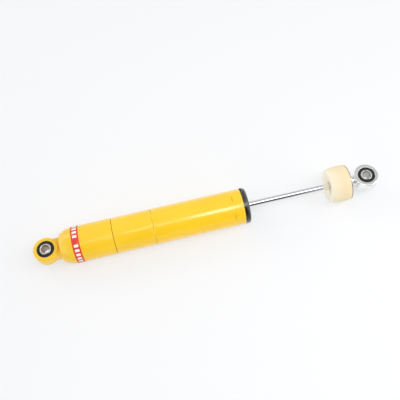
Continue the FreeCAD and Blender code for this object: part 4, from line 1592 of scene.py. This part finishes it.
@dataclass
class Studio:
    """White table, soft light all round, the lamps and the camera."""

    floor_size: float = 8.0
    floor_middle: float = 0.27
    floor_colour: Colour = (0.93, 0.93, 0.93)
    floor_roughness: float = 0.7
    floor_shine: float = 0.1
    grain_scale: float = 40.0
    grain_shade: float = 0.99
    glow: float = 0.60
    table_white: Colour = (0.920, 0.931, 0.953)
    room_dark: Colour = (0.02, 0.02, 0.02)
    table_front: Span = (-0.10, -0.045)
    dome: float = 0.60
    window_side: Span = (0.45, 0.65)
    window_top: Span = (0.45, 0.65)
    left_window: float = 1.05
    right_window: float = 1.1
    front_shade: float = 0.94
    dark_at: float = 0.10
    dark_width: Span = (0.24, 0.36)
    dark_ahead: Span = (-0.30, -0.15)
    dark_slope: Span = (0.0, 0.09)
    dark_top: Span = (0.86, 0.67)
    dark_blur: float = 0.07
    camera_place: Place = (0.204446, -0.418952, 0.900726)
    camera_right: Place = (0.972837, -0.226282, -0.048823)
    camera_down: Place = (-0.223977, -0.866837, -0.445453)
    lens: float = 54.0
    sensor: float = 36.0

    def build(self, lowest: float) -> None:
        """Sets the table, the light and the camera.

        Args:
            lowest: height of the object's lowest point.
        """
        self.build_floor(lowest)
        self.build_world()
        for lamp in LAMPS:
            lamp.build()
        self.build_camera()
        bpy.context.scene.view_settings.view_transform = "Standard"

    def build_floor(self, lowest: float) -> None:
        """Pale table that the object lies on, white to the camera and still shadowed.

        Mirrored in the object, its front is as dark as the room ahead.

        Args:
            lowest: height of the object's lowest point.
        """
        deselect()
        bpy.ops.mesh.primitive_plane_add(size=self.floor_size, location=(self.floor_middle, 0.0, lowest))
        floor = bpy.context.object
        floor.name = "table"
        graph = Skin("white_table")
        place = graph.place()
        grain = graph.noise(place, self.grain_scale)
        graph.surface(
            base_color=graph.mix(grain, scaled(self.floor_colour, self.grain_shade), self.floor_colour),
            roughness=self.floor_roughness,
            specular_ior_level=self.floor_shine,
        )
        path = graph.node("ShaderNodeLightPath")
        mirrored = Wire(graph, path.outputs["Is Glossy Ray"])
        seen = Wire(graph, path.outputs["Is Camera Ray"]) + mirrored
        front = graph.split(place)[1].ramp(*self.table_front, 1.0, 0.0)
        tone = graph.mix(mirrored * front, self.table_white, self.room_dark)
        white = graph.wire("ShaderNodeEmission", inputs={"Color": tone, "Strength": 1.0})
        share = seen.ramp(0.0, 1.0, 0.0, self.glow)
        shown = graph.wire("ShaderNodeMixShader", inputs={0: share, 1: graph.lit, 2: white})
        graph.feed(graph.output.inputs["Surface"], shown)
        floor.data.materials.append(graph.material)
        floor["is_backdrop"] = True

    def build_world(self) -> None:
        """Soft light all round, with bright windows low at both sides and a dark room straight ahead.

        The camera itself sees plain white behind the table.
        """
        world = bpy.data.worlds.new("studio")
        world.use_nodes = True
        bpy.context.scene.world = world
        graph = Graph(world.node_tree)
        side, depth, height = graph.split(graph.wire("ShaderNodeTexCoord", out="Generated"))
        near, far = self.window_side
        low = height.ramp(*self.window_top, 1.0, 0.0)
        left = side.ramp(-far, -near, 1.0, 0.0) * low
        right = side.ramp(near, far) * low
        across = abs(side - self.dark_at).ramp(*self.dark_width, 1.0, 0.0)
        above = height - side.ramp(*self.dark_slope, *self.dark_top)
        under = above.ramp(-self.dark_blur, self.dark_blur, 1.0, 0.0)
        ahead = across * depth.ramp(*self.dark_ahead, 1.0, 0.0) * under
        light = self.dome + left * self.left_window + right * self.right_window
        light = light * (1.0 - ahead * self.front_shade)
        seen = graph.wire("ShaderNodeLightPath", out="Is Camera Ray")
        shade = light * (1.0 - seen) + seen
        background = graph.wire("ShaderNodeBackground", inputs={"Color": shade, "Strength": 1.0})
        graph.node("ShaderNodeOutputWorld", inputs={"Surface": background})

    def build_camera(self) -> None:
        """Camera at the photograph's angle."""
        right = Vector(self.camera_right).normalized()
        up = -Vector(self.camera_down)
        up = (up - right * up.dot(right)).normalized()
        back = right.cross(up)
        data = bpy.data.cameras.new("camera")
        data.sensor_width = self.sensor
        data.lens = self.lens
        camera = bpy.data.objects.new("camera", data)
        bpy.context.scene.collection.objects.link(camera)
        turn = Matrix((right, up, back)).transposed()
        camera.matrix_world = Matrix.Translation(self.camera_place) @ turn.to_4x4()
        bpy.context.scene.camera = camera


def main() -> None:
    """Builds every sub-assembly in order, from the lower eye to the upper one, then the studio."""
    logging.basicConfig(level=logging.INFO, format="%(name)s: %(message)s")
    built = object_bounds()
    bore = (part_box("lower_bush")[1].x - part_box("lower_bush")[0].x) / 2.0
    lower = Bushed("lower", "barrel", BROWN_BORE_SHADE)
    upper = Bushed("upper", "rod", GREY_BORE_SHADE)
    LowerEye("lower_eye", "barrel", lower.centre, bore).build()
    lower.build()
    Body().build()
    Gland().build()
    RodEnd().build()
    CheckSpring("foot", "barrel").build()
    CheckSpring("piston", "rod").build()
    UpperEye("upper_eye", "rod", upper.centre, bore).build()
    upper.build()
    dress_inner_nodes()
    Studio().build(built[0].z)


if __name__ == "__main__":
    main()
